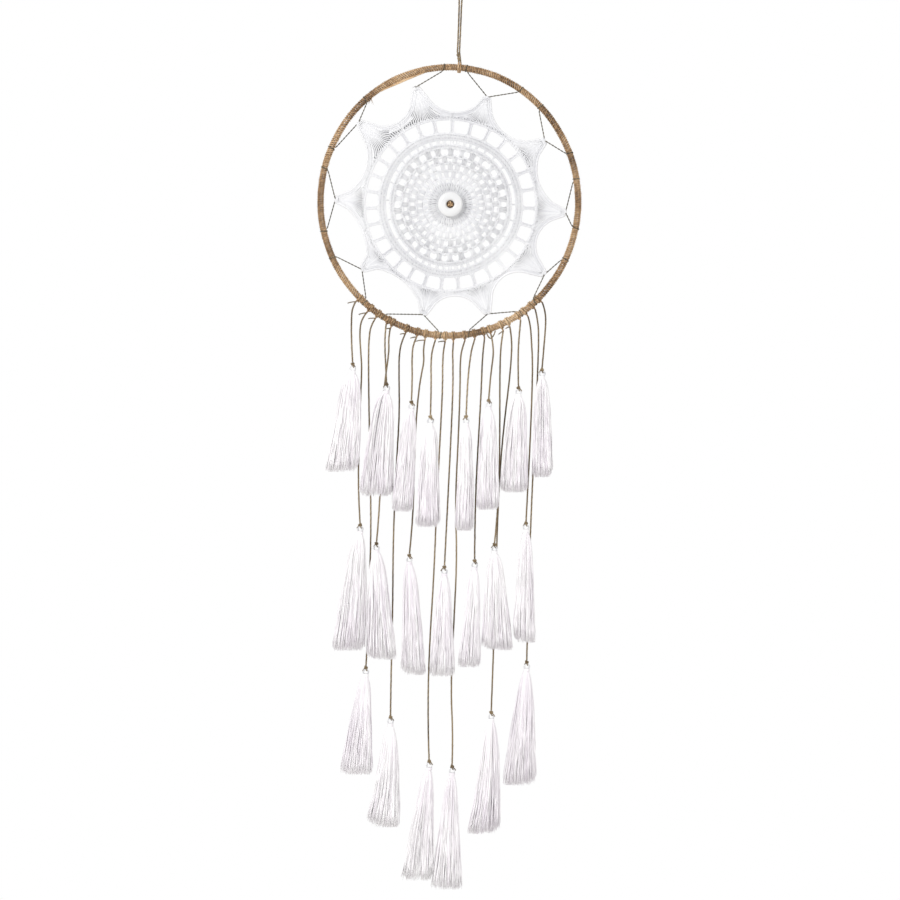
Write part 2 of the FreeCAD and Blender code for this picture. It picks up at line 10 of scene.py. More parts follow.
import bpy
import numpy as np
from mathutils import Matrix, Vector


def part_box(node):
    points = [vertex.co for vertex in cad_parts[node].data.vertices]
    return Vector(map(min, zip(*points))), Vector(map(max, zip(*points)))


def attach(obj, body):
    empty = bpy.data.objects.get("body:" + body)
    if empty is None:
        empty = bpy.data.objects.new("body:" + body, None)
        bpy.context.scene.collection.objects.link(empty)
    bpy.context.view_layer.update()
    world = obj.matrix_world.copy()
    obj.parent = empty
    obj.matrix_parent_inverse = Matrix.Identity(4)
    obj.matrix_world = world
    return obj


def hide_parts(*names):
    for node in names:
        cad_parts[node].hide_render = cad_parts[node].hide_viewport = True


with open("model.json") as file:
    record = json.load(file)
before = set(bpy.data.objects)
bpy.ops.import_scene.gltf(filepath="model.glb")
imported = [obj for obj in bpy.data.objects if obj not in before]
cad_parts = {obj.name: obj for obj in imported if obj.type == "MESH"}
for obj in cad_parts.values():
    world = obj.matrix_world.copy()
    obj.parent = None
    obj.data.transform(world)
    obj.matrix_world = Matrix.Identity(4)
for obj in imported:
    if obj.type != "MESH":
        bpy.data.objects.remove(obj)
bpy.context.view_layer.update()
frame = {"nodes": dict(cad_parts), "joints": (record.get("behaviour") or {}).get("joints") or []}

rng = np.random.default_rng(5)
TURN = 2 * math.pi

# ---- places from the frame

JOINT = {joint["name"]: np.array(joint["pos_m"]) for joint in frame["joints"]}
BACKWARD = np.array([0.0, 1.0, 0.0])

wrap_low, wrap_high = np.array(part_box("hoop_wrap"))
HOOP = (wrap_low + wrap_high) / 2
TUBE = (wrap_high[1] - wrap_low[1]) / 2          # radius of the wound hoop
HALF_WIDTH = (wrap_high[0] - wrap_low[0]) / 2 - TUBE
HALF_HEIGHT = (wrap_high[2] - wrap_low[2]) / 2 - TUBE

bead_low, bead_high = np.array(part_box("centre_bead"))
DOILY = np.array([(bead_low[0] + bead_high[0]) / 2, 0.0, (bead_low[2] + bead_high[2]) / 2])
BEAD_RADIUS = (bead_high[0] - bead_low[0]) / 2
BEAD_HOLE = 0.004

# ---- camera

CAMERA_DISTANCE = 4.0
VIEW_WIDTH = 0.999
VIEW_CENTRE = (-0.0133, -0.5439)  # x and z of the middle of the picture

camera = bpy.data.objects.new("camera", bpy.data.cameras.new("camera"))
bpy.context.scene.collection.objects.link(camera)
camera.location = (VIEW_CENTRE[0], -CAMERA_DISTANCE, VIEW_CENTRE[1])
camera.rotation_euler = (math.pi / 2, 0, 0)
camera.data.sensor_width = 36.0
camera.data.lens = camera.data.sensor_width * CAMERA_DISTANCE / VIEW_WIDTH
camera.data.clip_end = 50.0
bpy.context.scene.camera = camera

# ---- cord routes

CORD = 0.002            # diameter of the strings and of the hanging cord
KNOT_GAP = 0.0023       # a string's route stops this far above the middle of its knot
DEPTH_SHARE = 0.5       # how much of the way to its row's depth a string moves at each point
ROW_DEPTH = {1: -0.011, 2: 0.0, 3: 0.009}

# Each string, left to right: its row, and the (x, z) points of its route below its hitch.
STRINGS = [
    (1, [(-0.1215, -0.386), (-0.1225, -0.399), (-0.1225, -0.422), (-0.121, -0.449)]),
    (2, [(-0.111, -0.398), (-0.1135, -0.41), (-0.113, -0.427), (-0.111, -0.452), (-0.1125, -0.483),
         (-0.114, -0.53), (-0.1155, -0.586), (-0.113, -0.627)]),
    (3, [(-0.101, -0.405), (-0.1035, -0.419), (-0.104, -0.445), (-0.1035, -0.495),
         (-0.102, -0.565), (-0.101, -0.64), (-0.104, -0.715), (-0.1055, -0.765), (-0.107, -0.786)]),
    (1, [(-0.085, -0.413), (-0.0855, -0.428), (-0.0845, -0.45), (-0.0835, -0.471)]),
    (2, [(-0.0815, -0.419), (-0.081, -0.435), (-0.084, -0.456), (-0.088, -0.489), (-0.0905, -0.54),
         (-0.0905, -0.599), (-0.095, -0.648)]),
    (3, [(-0.067, -0.423), (-0.07, -0.438), (-0.07, -0.465), (-0.0695, -0.505), (-0.073, -0.56),
         (-0.0765, -0.64), (-0.077, -0.72), (-0.079, -0.8), (-0.0795, -0.841)]),
    (1, [(-0.054, -0.426), (-0.0555, -0.441), (-0.055, -0.466), (-0.056, -0.491)]),
    (2, [(-0.043, -0.431), (-0.042, -0.446), (-0.046, -0.464), (-0.049, -0.488), (-0.0515, -0.52),
         (-0.053, -0.567), (-0.0545, -0.622), (-0.0585, -0.661)]),
    (1, [(-0.0325, -0.431), (-0.0345, -0.445), (-0.034, -0.475), (-0.035, -0.507)]),
    (3, [(-0.0205, -0.432), (-0.0215, -0.447), (-0.0215, -0.475), (-0.024, -0.525), (-0.028, -0.6),
         (-0.031, -0.68), (-0.037, -0.775), (-0.038, -0.85), (-0.0365, -0.89)]),
    (2, [(-0.0105, -0.434), (-0.01, -0.448), (-0.01, -0.475), (-0.012, -0.525), (-0.016, -0.605),
         (-0.0195, -0.674)]),
    (3, [(0.0, -0.431), (-0.002, -0.445), (-0.002, -0.475), (-0.004, -0.53), (-0.0075, -0.6),
         (-0.0055, -0.665), (-0.009, -0.735), (-0.0125, -0.81), (-0.01, -0.86), (-0.011, -0.896)]),
    (1, [(0.0115, -0.429), (0.009, -0.442), (0.006, -0.47), (0.0045, -0.507)]),
    (2, [(0.024, -0.429), (0.0225, -0.445), (0.0215, -0.475), (0.019, -0.52), (0.0145, -0.6),
         (0.014, -0.667)]),
    (1, [(0.034, -0.424), (0.035, -0.438), (0.0315, -0.462), (0.0295, -0.489)]),
    (2, [(0.044, -0.422), (0.0425, -0.439), (0.042, -0.47), (0.042, -0.53), (0.041, -0.6),
         (0.036, -0.649)]),
    (3, [(0.055, -0.417), (0.0555, -0.433), (0.053, -0.465), (0.048, -0.505), (0.0435, -0.55),
         (0.04, -0.61), (0.0375, -0.69), (0.035, -0.77), (0.0325, -0.836)]),
    (1, [(0.064, -0.411), (0.0625, -0.427), (0.062, -0.45), (0.0625, -0.475)]),
    (2, [(0.076, -0.405), (0.077, -0.421), (0.0785, -0.447), (0.0775, -0.49), (0.0745, -0.56),
         (0.071, -0.625)]),
    (3, [(0.084, -0.398), (0.0855, -0.415), (0.0845, -0.45), (0.082, -0.51), (0.078, -0.59),
         (0.0745, -0.68), (0.072, -0.78)]),
    (1, [(0.092, -0.389), (0.093, -0.402), (0.091, -0.426), (0.0885, -0.455)]),
]

# The hanging cord's (x, z) points: up the left leg, over the nail and down the right leg.
HANGER_ROUTE = [
    (-0.005, -0.103), (-0.0038, -0.076), (-0.0029, -0.044), (-0.0032, -0.024),
    (-0.0033, -0.01), (-0.0031, 0.001), (0.0031, 0.001), (0.0032, -0.01), (0.0019, -0.024),
    (-0.0003, -0.044), (-0.0015, -0.076), (-0.0028, -0.103),
]


def string_route(number):
    """A string's route: from where it swings at its hitch down to just above its knot."""
    row, below = STRINGS[number]
    route = [JOINT[f"string_{number + 1:02d}_swing"]]
    depth = route[0][1]
    for x, z in below:
        depth += (ROW_DEPTH[row] - depth) * DEPTH_SHARE
        route.append(np.array([x, depth, z]))
    route[-1][1] = ROW_DEPTH[row]
    last_run = route[-2] - route[-1]
    route[-1] = route[-1] + last_run / np.linalg.norm(last_run) * KNOT_GAP
    return route


def nurbs_line(route):
    """Points read from the smooth curve that a route's points control."""
    curve = bpy.data.curves.new("route", "CURVE")
    curve.dimensions = "3D"
    curve.resolution_u = 24
    spline = curve.splines.new("NURBS")
    spline.points.add(len(route) - 1)
    for point, place in zip(spline.points, route):
        point.co = (*place, 1.0)
    spline.order_u = 3
    spline.use_endpoint_u = True
    holder = bpy.data.objects.new("route", curve)
    bpy.context.scene.collection.objects.link(holder)
    mesh = bpy.data.meshes.new_from_object(holder)
    line = np.array([vertex.co[:] for vertex in mesh.vertices])
    bpy.data.objects.remove(holder)
    bpy.data.curves.remove(curve)
    bpy.data.meshes.remove(mesh)
    return line


# ---- materials

def srgb(red, green, blue):
    """A colour given as screen values from 0 to 255, as the linear colour that nodes take."""
    return tuple(((value / 255 + 0.055) / 1.055) ** 2.4 for value in (red, green, blue)) + (1.0,)


class Nodes:
    """A short way to add and link the nodes of one material."""

    def __init__(self, name):
        self.material = bpy.data.materials.new(name)
        self.material.use_nodes = True
        self.tree = self.material.node_tree
        self.shader = self.tree.nodes["Principled BSDF"]

    def add(self, kind, **settings):
        node = self.tree.nodes.new("ShaderNode" + kind)
        for key, value in settings.items():
            if hasattr(node, key):
                setattr(node, key, value)
            else:
                node.inputs[key].default_value = value
        return node

    def link(self, source, target, name):
        self.tree.links.new(source, target.inputs[name])

    def ramp(self, source, stops):
        ramp = self.add("ValToRGB")
        elements = ramp.color_ramp.elements
        while len(elements) < len(stops):
            elements.new(0.5)
        for element, (place, colour) in zip(elements, stops):
            element.position = place
            element.color = colour
        self.link(source, ramp, "Fac")
        return ramp.outputs["Color"]

    def relief(self, source, strength, distance):
        bump = self.add("Bump", Strength=strength, Distance=distance)
        self.link(source, bump, "Height")
        self.link(bump.outputs["Normal"], self.shader, "Normal")

    def math(self, operation, first, second):
        node = self.add("Math", operation=operation)
        for number, value in enumerate((first, second)):
            if isinstance(value, (int, float)):
                node.inputs[number].default_value = value
            else:
                self.tree.links.new(value, node.inputs[number])
        return node.outputs[0]


def fibre_material(name, stops, patches, fibre_length, roughness, sheen, bump, tone=0.3):
    """Spun fibre: streaks along each yarn, a tone of its own for each, and wider patches."""
    nodes = Nodes(name)
    fibre = nodes.add("Attribute", attribute_name="fibre")
    turn = nodes.add("Attribute", attribute_name="turn")
    split = nodes.add("SeparateXYZ")
    nodes.link(fibre.outputs["Vector"], split, "Vector")
    along = nodes.math("MULTIPLY", split.outputs["X"], 1 / fibre_length)
    around = nodes.add("SeparateXYZ")
    nodes.link(turn.outputs["Vector"], around, "Vector")
    place = nodes.add("CombineXYZ")
    nodes.link(along, place, "X")
    for axis, target in (("X", "Y"), ("Y", "Z")):
        nodes.link(nodes.math("MULTIPLY", around.outputs[axis], 1.6), place, target)
    streak = nodes.add("TexNoise", noise_dimensions="4D", Scale=1.5, Detail=3.0, Roughness=0.6)
    nodes.link(place.outputs["Vector"], streak, "Vector")
    nodes.link(nodes.math("MULTIPLY", split.outputs["Y"], 40.0), streak, "W")
    where = nodes.add("TexCoord")
    patch = nodes.add("TexNoise", Scale=patches, Detail=2.0)
    nodes.link(where.outputs["Object"], patch, "Vector")
    own = nodes.math("MULTIPLY", nodes.math("SUBTRACT", split.outputs["Y"], 0.5), tone)
    spread = nodes.math("MULTIPLY", nodes.math("SUBTRACT", patch.outputs["Fac"], 0.5), 0.9)
    mixed = nodes.math("ADD", nodes.math("ADD", streak.outputs["Fac"], own), spread)
    nodes.link(nodes.ramp(mixed, stops), nodes.shader, "Base Color")
    nodes.relief(streak.outputs["Fac"], bump, 0.0004)
    nodes.shader.inputs["Roughness"].default_value = roughness
    nodes.shader.inputs["Sheen Weight"].default_value = sheen
    return nodes.material


def solid_material(name, stops, scale, roughness, metallic, coat, bump):
    """A hard surface with a faint mottle in its colour and a fine relief."""
    nodes = Nodes(name)
    where = nodes.add("TexCoord")
    mottle = nodes.add("TexNoise", Scale=scale, Detail=4.0)
    nodes.link(where.outputs["Object"], mottle, "Vector")
    nodes.link(nodes.ramp(mottle.outputs["Fac"], stops), nodes.shader, "Base Color")
    nodes.relief(mottle.outputs["Fac"], bump, 0.0002)
    nodes.shader.inputs["Roughness"].default_value = roughness
    nodes.shader.inputs["Metallic"].default_value = metallic
    nodes.shader.inputs["Coat Weight"].default_value = coat
    return nodes.material


JUTE = fibre_material(
    "jute_wrap",
    [(0.22, srgb(84, 60, 40)), (0.4, srgb(156, 122, 86)), (0.56, srgb(198, 164, 124)),
     (0.8, srgb(228, 202, 166))],
    patches=24.0, fibre_length=0.006, roughness=0.85, sheen=0.1, bump=0.5)
STRING_JUTE = fibre_material(
    "jute_string",
    [(0.2, srgb(70, 58, 42)), (0.45, srgb(118, 100, 74)), (0.62, srgb(146, 127, 98)),
     (0.85, srgb(186, 166, 134))],
    patches=18.0, fibre_length=0.006, roughness=0.85, sheen=0.1, bump=0.6)
LACING = fibre_material(
    "lacing_twine",
    [(0.25, srgb(52, 48, 38)), (0.5, srgb(84, 78, 64)), (0.75, srgb(122, 114, 96))],
    patches=20.0, fibre_length=0.004, roughness=0.8, sheen=0.1, bump=0.4)
COTTON = fibre_material(
    "crochet_cotton",
    [(0.2, srgb(212, 212, 216)), (0.5, srgb(228, 228, 230)), (0.8, srgb(239, 239, 240))],
    patches=14.0, fibre_length=0.004, roughness=0.9, sheen=0.1, bump=0.4)
# Painted shade: white cotton coloured mid grey, so that the threads behind the stitches and in the fans'
# grooves show the shadow between the stitches as grey lines.
COTTON_PAINTED_SHADE = fibre_material(
    "crochet_underside",
    [(0.2, srgb(176, 176, 180)), (0.5, srgb(194, 194, 197)), (0.8, srgb(208, 208, 210))],
    patches=14.0, fibre_length=0.004, roughness=0.95, sheen=0.0, bump=0.4)
SILK = fibre_material(
    "tassel_silk",
    [(0.2, srgb(238, 232, 238)), (0.45, srgb(248, 244, 247)), (0.75, srgb(253, 252, 252))],
    patches=10.0, fibre_length=0.03, roughness=0.55, sheen=0.1, bump=0.2, tone=0.5)
GLOSS = solid_material(
    "glossy_bead", [(0.3, srgb(220, 220, 221)), (0.7, srgb(226, 226, 226))],
    scale=60.0, roughness=0.12, metallic=0.0, coat=0.6, bump=0.02)
STEEL = solid_material(
    "drawn_steel", [(0.3, srgb(150, 150, 152)), (0.7, srgb(182, 182, 184))],
    scale=400.0, roughness=0.35, metallic=1.0, coat=0.0, bump=0.1)


# ---- yarns

def full_turn(amount):
    """This many directions, evenly round a circle, in radians."""
    return np.linspace(0, TURN, amount, endpoint=False)


def unit(vectors):
    return vectors / np.maximum(np.linalg.norm(vectors, axis=-1, keepdims=True), 1e-12)


def distances(paths):
    """How far along its path each point lies."""
    steps = np.linalg.norm(np.diff(paths, axis=-2), axis=-1)
    start = np.zeros(paths.shape[:-2] + (1,))
    return np.concatenate([start, np.cumsum(steps, axis=-1)], axis=-1)


def even(line, step):
    """The same line with points an even step apart."""
    along = distances(line)
    places = np.linspace(0, along[-1], max(3, round(along[-1] / step) + 1))
    return np.stack([np.interp(places, along, line[:, axis]) for axis in range(3)], axis=1)


def cross_directions(paths, closed):
    """Two unit directions across each path, carried along it without spinning."""
    if closed:
        tangent = unit(np.roll(paths, -1, axis=1) - np.roll(paths, 1, axis=1))
    else:
        tangent = unit(np.gradient(paths, axis=1))
    first = tangent[:, 0]
    steep = np.abs(first[:, 1:2]) > 0.9
    side = np.where(steep, np.array([1.0, 0.0, 0.0]), BACKWARD)
    sides = np.empty_like(paths)
    for number in range(paths.shape[1]):
        ahead = tangent[:, number]
        side = unit(side - np.sum(side * ahead, axis=1, keepdims=True) * ahead)
        sides[:, number] = side
    if closed:
        back = unit(side - np.sum(side * first, axis=1, keepdims=True) * first)
        sine = np.sum(np.cross(back, sides[:, 0]) * first, axis=1)
        cosine = np.sum(back * sides[:, 0], axis=1)
        spin = np.arctan2(sine, cosine)[:, None, None]
        spin = spin * np.linspace(0, 1, paths.shape[1], endpoint=False)[None, :, None]
        sides = np.cos(spin) * sides + np.sin(spin) * np.cross(tangent, sides)
    return sides, np.cross(tangent, sides)


def plied(line, plies, reach, pitch, closed=False, start=0.0):
    """The plies of a twisted cord round a line, as an array of paths."""
    sides, ups = cross_directions(line[None], closed)
    share = distances(line) / pitch
    if closed:
        turns = max(1, round(share[-1]))
        share = np.linspace(0, turns, len(line), endpoint=False)
    angle = TURN * (share[None] + np.arange(plies)[:, None] / plies + start)
    return line + reach * (np.cos(angle)[..., None] * sides + np.sin(angle)[..., None] * ups)


class Yarns:
    """Round yarns gathered into one mesh, with coordinates along and round each for its fibres."""

    def __init__(self):
        self.points, self.fibre, self.turn = [], [], []
        self.quads, self.caps, self.count = [], [], 0

    def add(self, paths, radius, sides=5, closed=False):
        """Round tubes along paths, an array of (yarn, point, axis) or the points of one yarn."""
        paths = np.asarray(paths, float)
        if paths.ndim == 2:
            paths = paths[None]
        yarns, length = paths.shape[:2]
        radius = np.broadcast_to(np.asarray(radius, float), (yarns, length))
        across, up = cross_directions(paths, closed)
        angle = full_turn(sides)
        ring = np.cos(angle)[:, None] * across[:, :, None] + np.sin(angle)[:, None] * up[:, :, None]
        points = paths[:, :, None] + radius[:, :, None, None] * ring
        fibre = np.zeros(points.shape)
        fibre[..., 0] = distances(paths)[:, :, None]
        fibre[..., 1] = rng.random(yarns)[:, None, None]
        turn = np.zeros(points.shape)
        turn[..., 0], turn[..., 1] = np.cos(angle), np.sin(angle)
        number = self.count + np.arange(yarns * length * sides).reshape(yarns, length, sides)
        here, there = number, np.roll(number, -1, axis=1)
        if not closed:
            here, there = number[:, :-1], number[:, 1:]
        beside, beyond = np.roll(here, -1, axis=2), np.roll(there, -1, axis=2)
        self.quads.append(np.stack([here, beside, beyond, there], axis=-1).reshape(-1, 4))
        if not closed:
            self.caps += list(number[:, 0, ::-1]) + list(number[:, -1])
        for gathered, values in ((self.points, points), (self.fibre, fibre), (self.turn, turn)):
            gathered.append(values.reshape(-1, 3))
        self.count += points.size // 3

    def fuzz(self, line, skin, amount, longest):
        """Loose fibres that stand off the surface of a cord along this line."""
        picks = rng.integers(0, len(line) - 1, amount)
        ahead = unit(line[picks + 1] - line[picks])
        out = unit(np.cross(ahead, rng.normal(size=(amount, 3))))
        ahead = ahead * rng.choice([-1.0, 1.0], (amount, 1))
        size = rng.uniform(0.4, 1.0, (amount, 1)) * longest
        bend = np.clip(rng.normal(size=(amount, 3)) * 0.15, -0.25, 0.25)
        root = line[picks] + out * skin * 0.9
        share = np.linspace(0, 1, 4)[None, :, None]
        rise = out * 0.3 + bend
        paths = root[:, None] + size[:, None] * (ahead[:, None] * share + rise[:, None] * share ** 2)
        self.add(paths, np.array([0.00009, 0.00008, 0.00006, 0.00003]), sides=3)

    def make(self, name, body, slot, material, stands_for=()):
        """One object from all the yarns, riding on a body."""
        mesh = bpy.data.meshes.new(name)
        points = np.concatenate(self.points).astype(np.float32)
        quads = np.concatenate(self.quads)
        corners = np.concatenate([quads.ravel(), *self.caps])
        sizes = np.array([4] * len(quads) + [len(cap) for cap in self.caps])
        starts = np.cumsum(sizes) - sizes
        mesh.vertices.add(len(points))
        mesh.vertices.foreach_set("co", points.ravel())
        mesh.loops.add(len(corners))
        mesh.loops.foreach_set("vertex_index", corners.astype(np.int32))
        mesh.polygons.add(len(sizes))
        mesh.polygons.foreach_set("loop_start", starts.astype(np.int32))
        mesh.update(calc_edges=True)
        mesh.shade_smooth()
        for key, values in (("fibre", self.fibre), ("turn", self.turn)):
            attribute = mesh.attributes.new(key, "FLOAT_VECTOR", "POINT")
            attribute.data.foreach_set("vector", np.concatenate(values).astype(np.float32).ravel())
        return settle(mesh, name, body, material, stands_for)


def settle(mesh, name, body, material, stands_for):
    """Put a mesh in the scene as a piece that rides on a body."""
    mesh.materials.append(material)
    piece = bpy.data.objects.new(name, mesh)
    bpy.context.scene.collection.objects.link(piece)
    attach(piece, body)
    if stands_for:
        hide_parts(*stands_for)
    return piece


PLY, PLY_REACH, TWIST = 0.00052, 0.0005, 0.0065   # a cord's three plies and how long a twist is
KNOT_TWIST = 0.004
STEP = 0.0009           # between the points of a cord's line


def add_cord(yarns, line, closed=False, start=0.0):
    """A twisted cord of three plies along a line."""
    yarns.add(plied(line, 3, PLY_REACH, TWIST, closed, start), PLY, 5, closed)


def knot_line(centre, size, tilt):
    """A small overhand knot's closed line round a point."""
    t = full_turn(48)
    x = np.sin(t) + 2 * np.sin(2 * t)
    y = np.cos(t) - 2 * np.cos(2 * t)
    z = -np.sin(3 * t)
    cosine, sine = math.cos(tilt), math.sin(tilt)
    turned = np.stack([x * cosine - y * sine, z, x * sine + y * cosine], axis=1)
    return centre + turned * size / 3


def add_knot(yarns, centre, size, tilt, reach, ply, sides=5):
    """An overhand knot tied in a twine of two plies."""
    plies = plied(knot_line(centre, size, tilt), 2, reach, KNOT_TWIST, closed=True)
    yarns.add(plies, ply, sides, closed=True)


# ---- free cords

FUZZ = 0.0024           # the longest loose fibres on a cord

SWINGS = [JOINT[f"string_{number + 1:02d}_swing"] for number in range(len(STRINGS))]
for number in range(len(STRINGS)):
    name = f"string_{number + 1:02d}"
    route = string_route(number)
    line = even(nurbs_line(route), STEP)
    yarns = Yarns()
    add_cord(yarns, line, start=rng.random())
    yarns.fuzz(line, CORD / 2, int(len(line) / 5), FUZZ)
    piece = yarns.make(name + "_twine", name, "jute", STRING_JUTE, [name])

route = [np.array([x, 0.0, z]) for x, z in HANGER_ROUTE]
line = even(nurbs_line(route), STEP)
yarns = Yarns()
add_cord(yarns, line)
yarns.fuzz(line, CORD / 2, 60, FUZZ)
piece = yarns.make("hanging_cord", "hanging_loop", "jute", STRING_JUTE, ["hanging_loop"])

# ---- the wound hoop

HOOP_OFFSET = (HALF_HEIGHT - HALF_WIDTH) / (2 - math.sqrt(2))


def hoop_place(angle):
    """Centreline points of the hoop in these directions, in degrees, and outward there."""
    turn = np.radians(np.atleast_1d(np.asarray(angle, float)))
    facing = np.arctan2(HALF_WIDTH ** 2 * np.sin(turn), HALF_HEIGHT ** 2 * np.cos(turn))
    outward = np.stack([np.cos(facing), np.zeros_like(facing), np.sin(facing)], axis=1)
    at_side = np.abs(outward[:, 0]) > np.abs(outward[:, 2])
    centre = np.zeros_like(outward)
    centre[:, 0] = np.where(at_side, -np.sign(outward[:, 0]) * HOOP_OFFSET, 0)
    centre[:, 2] = np.where(at_side, 0, np.sign(outward[:, 2]) * HOOP_OFFSET)
    radius = np.where(at_side, HALF_WIDTH + HOOP_OFFSET, HALF_HEIGHT - HOOP_OFFSET)
    return HOOP + centre + outward * radius[:, None], outward


def round_hoop(angle, around, reach):
    """Points round the hoop's tube: around is 0 outside the hoop, and -pi / 2 at its front."""
    middle, outward = hoop_place(angle)
    around = np.broadcast_to(around, len(middle))[:, None]
    reach = np.broadcast_to(reach, len(middle))[:, None]
    return middle + reach * (np.cos(around) * outward + np.sin(around) * BACKWARD)


WINDING_STARTS, WINDING_TURNS, TURN_POINTS = 4, 98, 16
WINDING_PLY, WINDING_PLY_REACH, WINDING_TWIST = 0.00057, 0.0005, 0.0062
# The turns wander: how far in radians, in how many waves round the hoop, and each wave's phase.
WINDING_SLIPS = ((0.5, 9, 0.0), (0.35, 31, 1.0))
WINDING_SWELL, SWELL_WAVES = 0.00012, 83

yarns = Yarns()
share = np.linspace(0, 1, WINDING_TURNS * TURN_POINTS, endpoint=False)
slip = sum(far * np.sin(TURN * waves * share + phase) for far, waves, phase in WINDING_SLIPS)
for start in range(WINDING_STARTS):
    around = TURN * (WINDING_TURNS * share + start / WINDING_STARTS) + slip
    swell = WINDING_SWELL * np.sin(TURN * SWELL_WAVES * share + 1.7 * start)
    line = round_hoop(360 * share, around, TUBE - WINDING_PLY - WINDING_PLY_REACH + swell)
    plies = plied(line, 2, WINDING_PLY_REACH, WINDING_TWIST, closed=True, start=start * 0.3)
    yarns.add(plies, WINDING_PLY, 5, closed=True)
yarns.fuzz(hoop_place(np.linspace(0, 360, 2000))[0], TUBE, 900, 0.0035)
for width in (0.0, 0.0012):  # the lacing's end, which lies along the inside of the hoop
    share = np.linspace(0, 1, 46)
    reach = TUBE - 0.0007 + (0.0014 + width) * np.sin(math.pi * share)
    line = round_hoop(122 - 21 * share, math.pi + 0.35, reach)
    add_cord(yarns, line, start=width * 400)
root = round_hoop([127.5], math.pi, TUBE * 0.8)[0]
for number in range(9):  # the frayed end of that twine
    aim = unit(np.array([-0.35, -0.2, -1.0]) + 0.35 * rng.normal(size=3))
    share = np.linspace(0, 1, 6)[:, None]
    droop = np.array([0.0008, 0, 0]) * share ** 2
    strand = root + aim * share * rng.uniform(0.006, 0.009) + droop
    yarns.add(strand, 0.00024 * (1.1 - share[:, 0]), 4)
yarns.make("hoop_winding", "hoop", "jute", JUTE, ["hoop_wrap"])

frame["nodes"]["hoop_core"].data.materials.clear()
frame["nodes"]["hoop_core"].data.materials.append(STEEL)

# ---- hitches and hanger

HITCH_RING = TUBE - 0.0001  # the hitches have sunk into the wrap
HANGER_RING = TUBE + 0.0011  # and the hanging cord's hitch lies on it
RING_POINTS = 32
HITCH_HALF = math.degrees(0.0011 / ((HALF_WIDTH + HALF_HEIGHT) / 2))  # half the turns' spacing


def direction(place):
    """Where a place lies as seen from the hoop's middle, in degrees."""
    return math.degrees(math.atan2(place[2] - HOOP[2], place[0] - HOOP[0]))


def hitch_rings(yarns, angle, reach=HITCH_RING):
    """A hitch's two turns round the hoop, side by side."""
    around = full_turn(RING_POINTS)
    for side in (-HITCH_HALF, HITCH_HALF):
        line = round_hoop(np.full(RING_POINTS, angle + side), around, reach)
        add_cord(yarns, line, closed=True, start=rng.random())


def loose_end(yarns, root, aim, size):
    """The cut end of a twine that stands off a hitch and droops."""
    share = np.linspace(0, 1, 14)[:, None]
    tail = root + size * (unit(np.array(aim)) * share + np.array([0, 0, -0.2]) * share ** 2)
    yarns.add(plied(tail, 3, 0.00036, 0.005), 0.00038 * np.linspace(1, 0.7, 14), 4)
    yarns.fuzz(tail, 0.0006, 8, 0.003)


# The hitches whose ends show: string number, the way the end points and its length.
LOOSE_ENDS = [
    (1, (-1.0, -0.1, 0.0), 0.009), (2, (-1.0, -0.1, 0.0), 0.0085), (3, (-1.0, -0.1, 0.15), 0.008),
    (5, (-1.0, -0.3, 0.1), 0.006), (6, (-1.0, -0.1, 0.1), 0.006), (7, (-1.0, -0.1, 0.0), 0.007),
    (8, (-1.0, -0.1, 0.05), 0.012), (10, (-1.0, -0.2, 0.1), 0.008), (16, (-1.0, -0.3, -0.5), 0.006),
    (17, (-1.0, -0.3, -0.3), 0.005),
]

yarns = Yarns()
for leaves in SWINGS:
    hitch_rings(yarns, direction(leaves))
    (middle,), _ = hoop_place(direction(leaves))
    share = np.linspace(0, 1, 10)[:, None]
    root = middle + unit(leaves - middle) * TUBE
    add_cord(yarns, root + (leaves - root) * share, start=rng.random())  # down to its string
yarns.make("hitch_twine", "hoop", "jute", JUTE, ["string_hitches"])

yarns = Yarns()
around = full_turn(RING_POINTS)
for leaves in SWINGS:  # the part of each hitch that crosses between its turns
    angle = direction(leaves) + HITCH_HALF * np.sin(around + 2.2)
    crossing = round_hoop(angle, around, TUBE + 0.0005)
    yarns.add(plied(crossing, 2, 0.00025, 0.005, closed=True), 0.0003, 4, closed=True)
for number, aim, size in LOOSE_ENDS:
    loose_end(yarns, SWINGS[number - 1], aim, size)
share = np.linspace(0, 1, 40)
swag = np.stack([0.0265 + 0.0105 * share, np.full(40, -0.003),
                 -0.4115 - 0.0085 * np.sin(math.pi * share) ** 0.8], axis=1)
yarns.add(plied(swag, 3, 0.0004, 0.006), 0.00042, 4)  # a slack bight between two hitches
yarns.make("hitch_ends", "hoop", "jute", STRING_JUTE)

yarns = Yarns()
hanger_angle = direction(JOINT["hoop_swing"])
hitch_rings(yarns, hanger_angle, HANGER_RING)
share = np.linspace(0, 1, 20)
bar = round_hoop(hanger_angle + HITCH_HALF * (3 * share - 1.5), math.pi * 0.75,
                 HANGER_RING + 0.0012 * np.sin(math.pi * share))
add_cord(yarns, bar)
yarns.make("hanger_hitch_twine", "hoop", "jute", JUTE, ["hanger_hitch"])

yarns = Yarns()
KNOT_RADIUS = 0.0023
(left, _, lowest), (right, _, highest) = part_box("hanging_knot")
for across, height, tilt in ((left + KNOT_RADIUS, highest - KNOT_RADIUS, 0.4),
                             (right - KNOT_RADIUS, lowest + KNOT_RADIUS, 2.0)):
    add_knot(yarns, np.array([across, 0.0, height]), 0.0017, tilt, 0.0003, 0.0005)
share = np.linspace(0, 1, 24)[:, None]
LEGS_FROM, LEGS_TO = -0.1022, -0.1152   # the cord's two legs, from the knots to the hoop
for top, foot in ((-0.0048, -0.0034), (-0.0028, -0.0012)):
    head, end = np.array([top, 0.0, LEGS_FROM]), np.array([foot, 0.0, LEGS_TO])
    add_cord(yarns, head + (end - head) * share, start=top * 100)
yarns.make("hanging_knot_twine", "hanging_knot", "jute", STRING_JUTE, ["hanging_knot"])

# ---- lacing

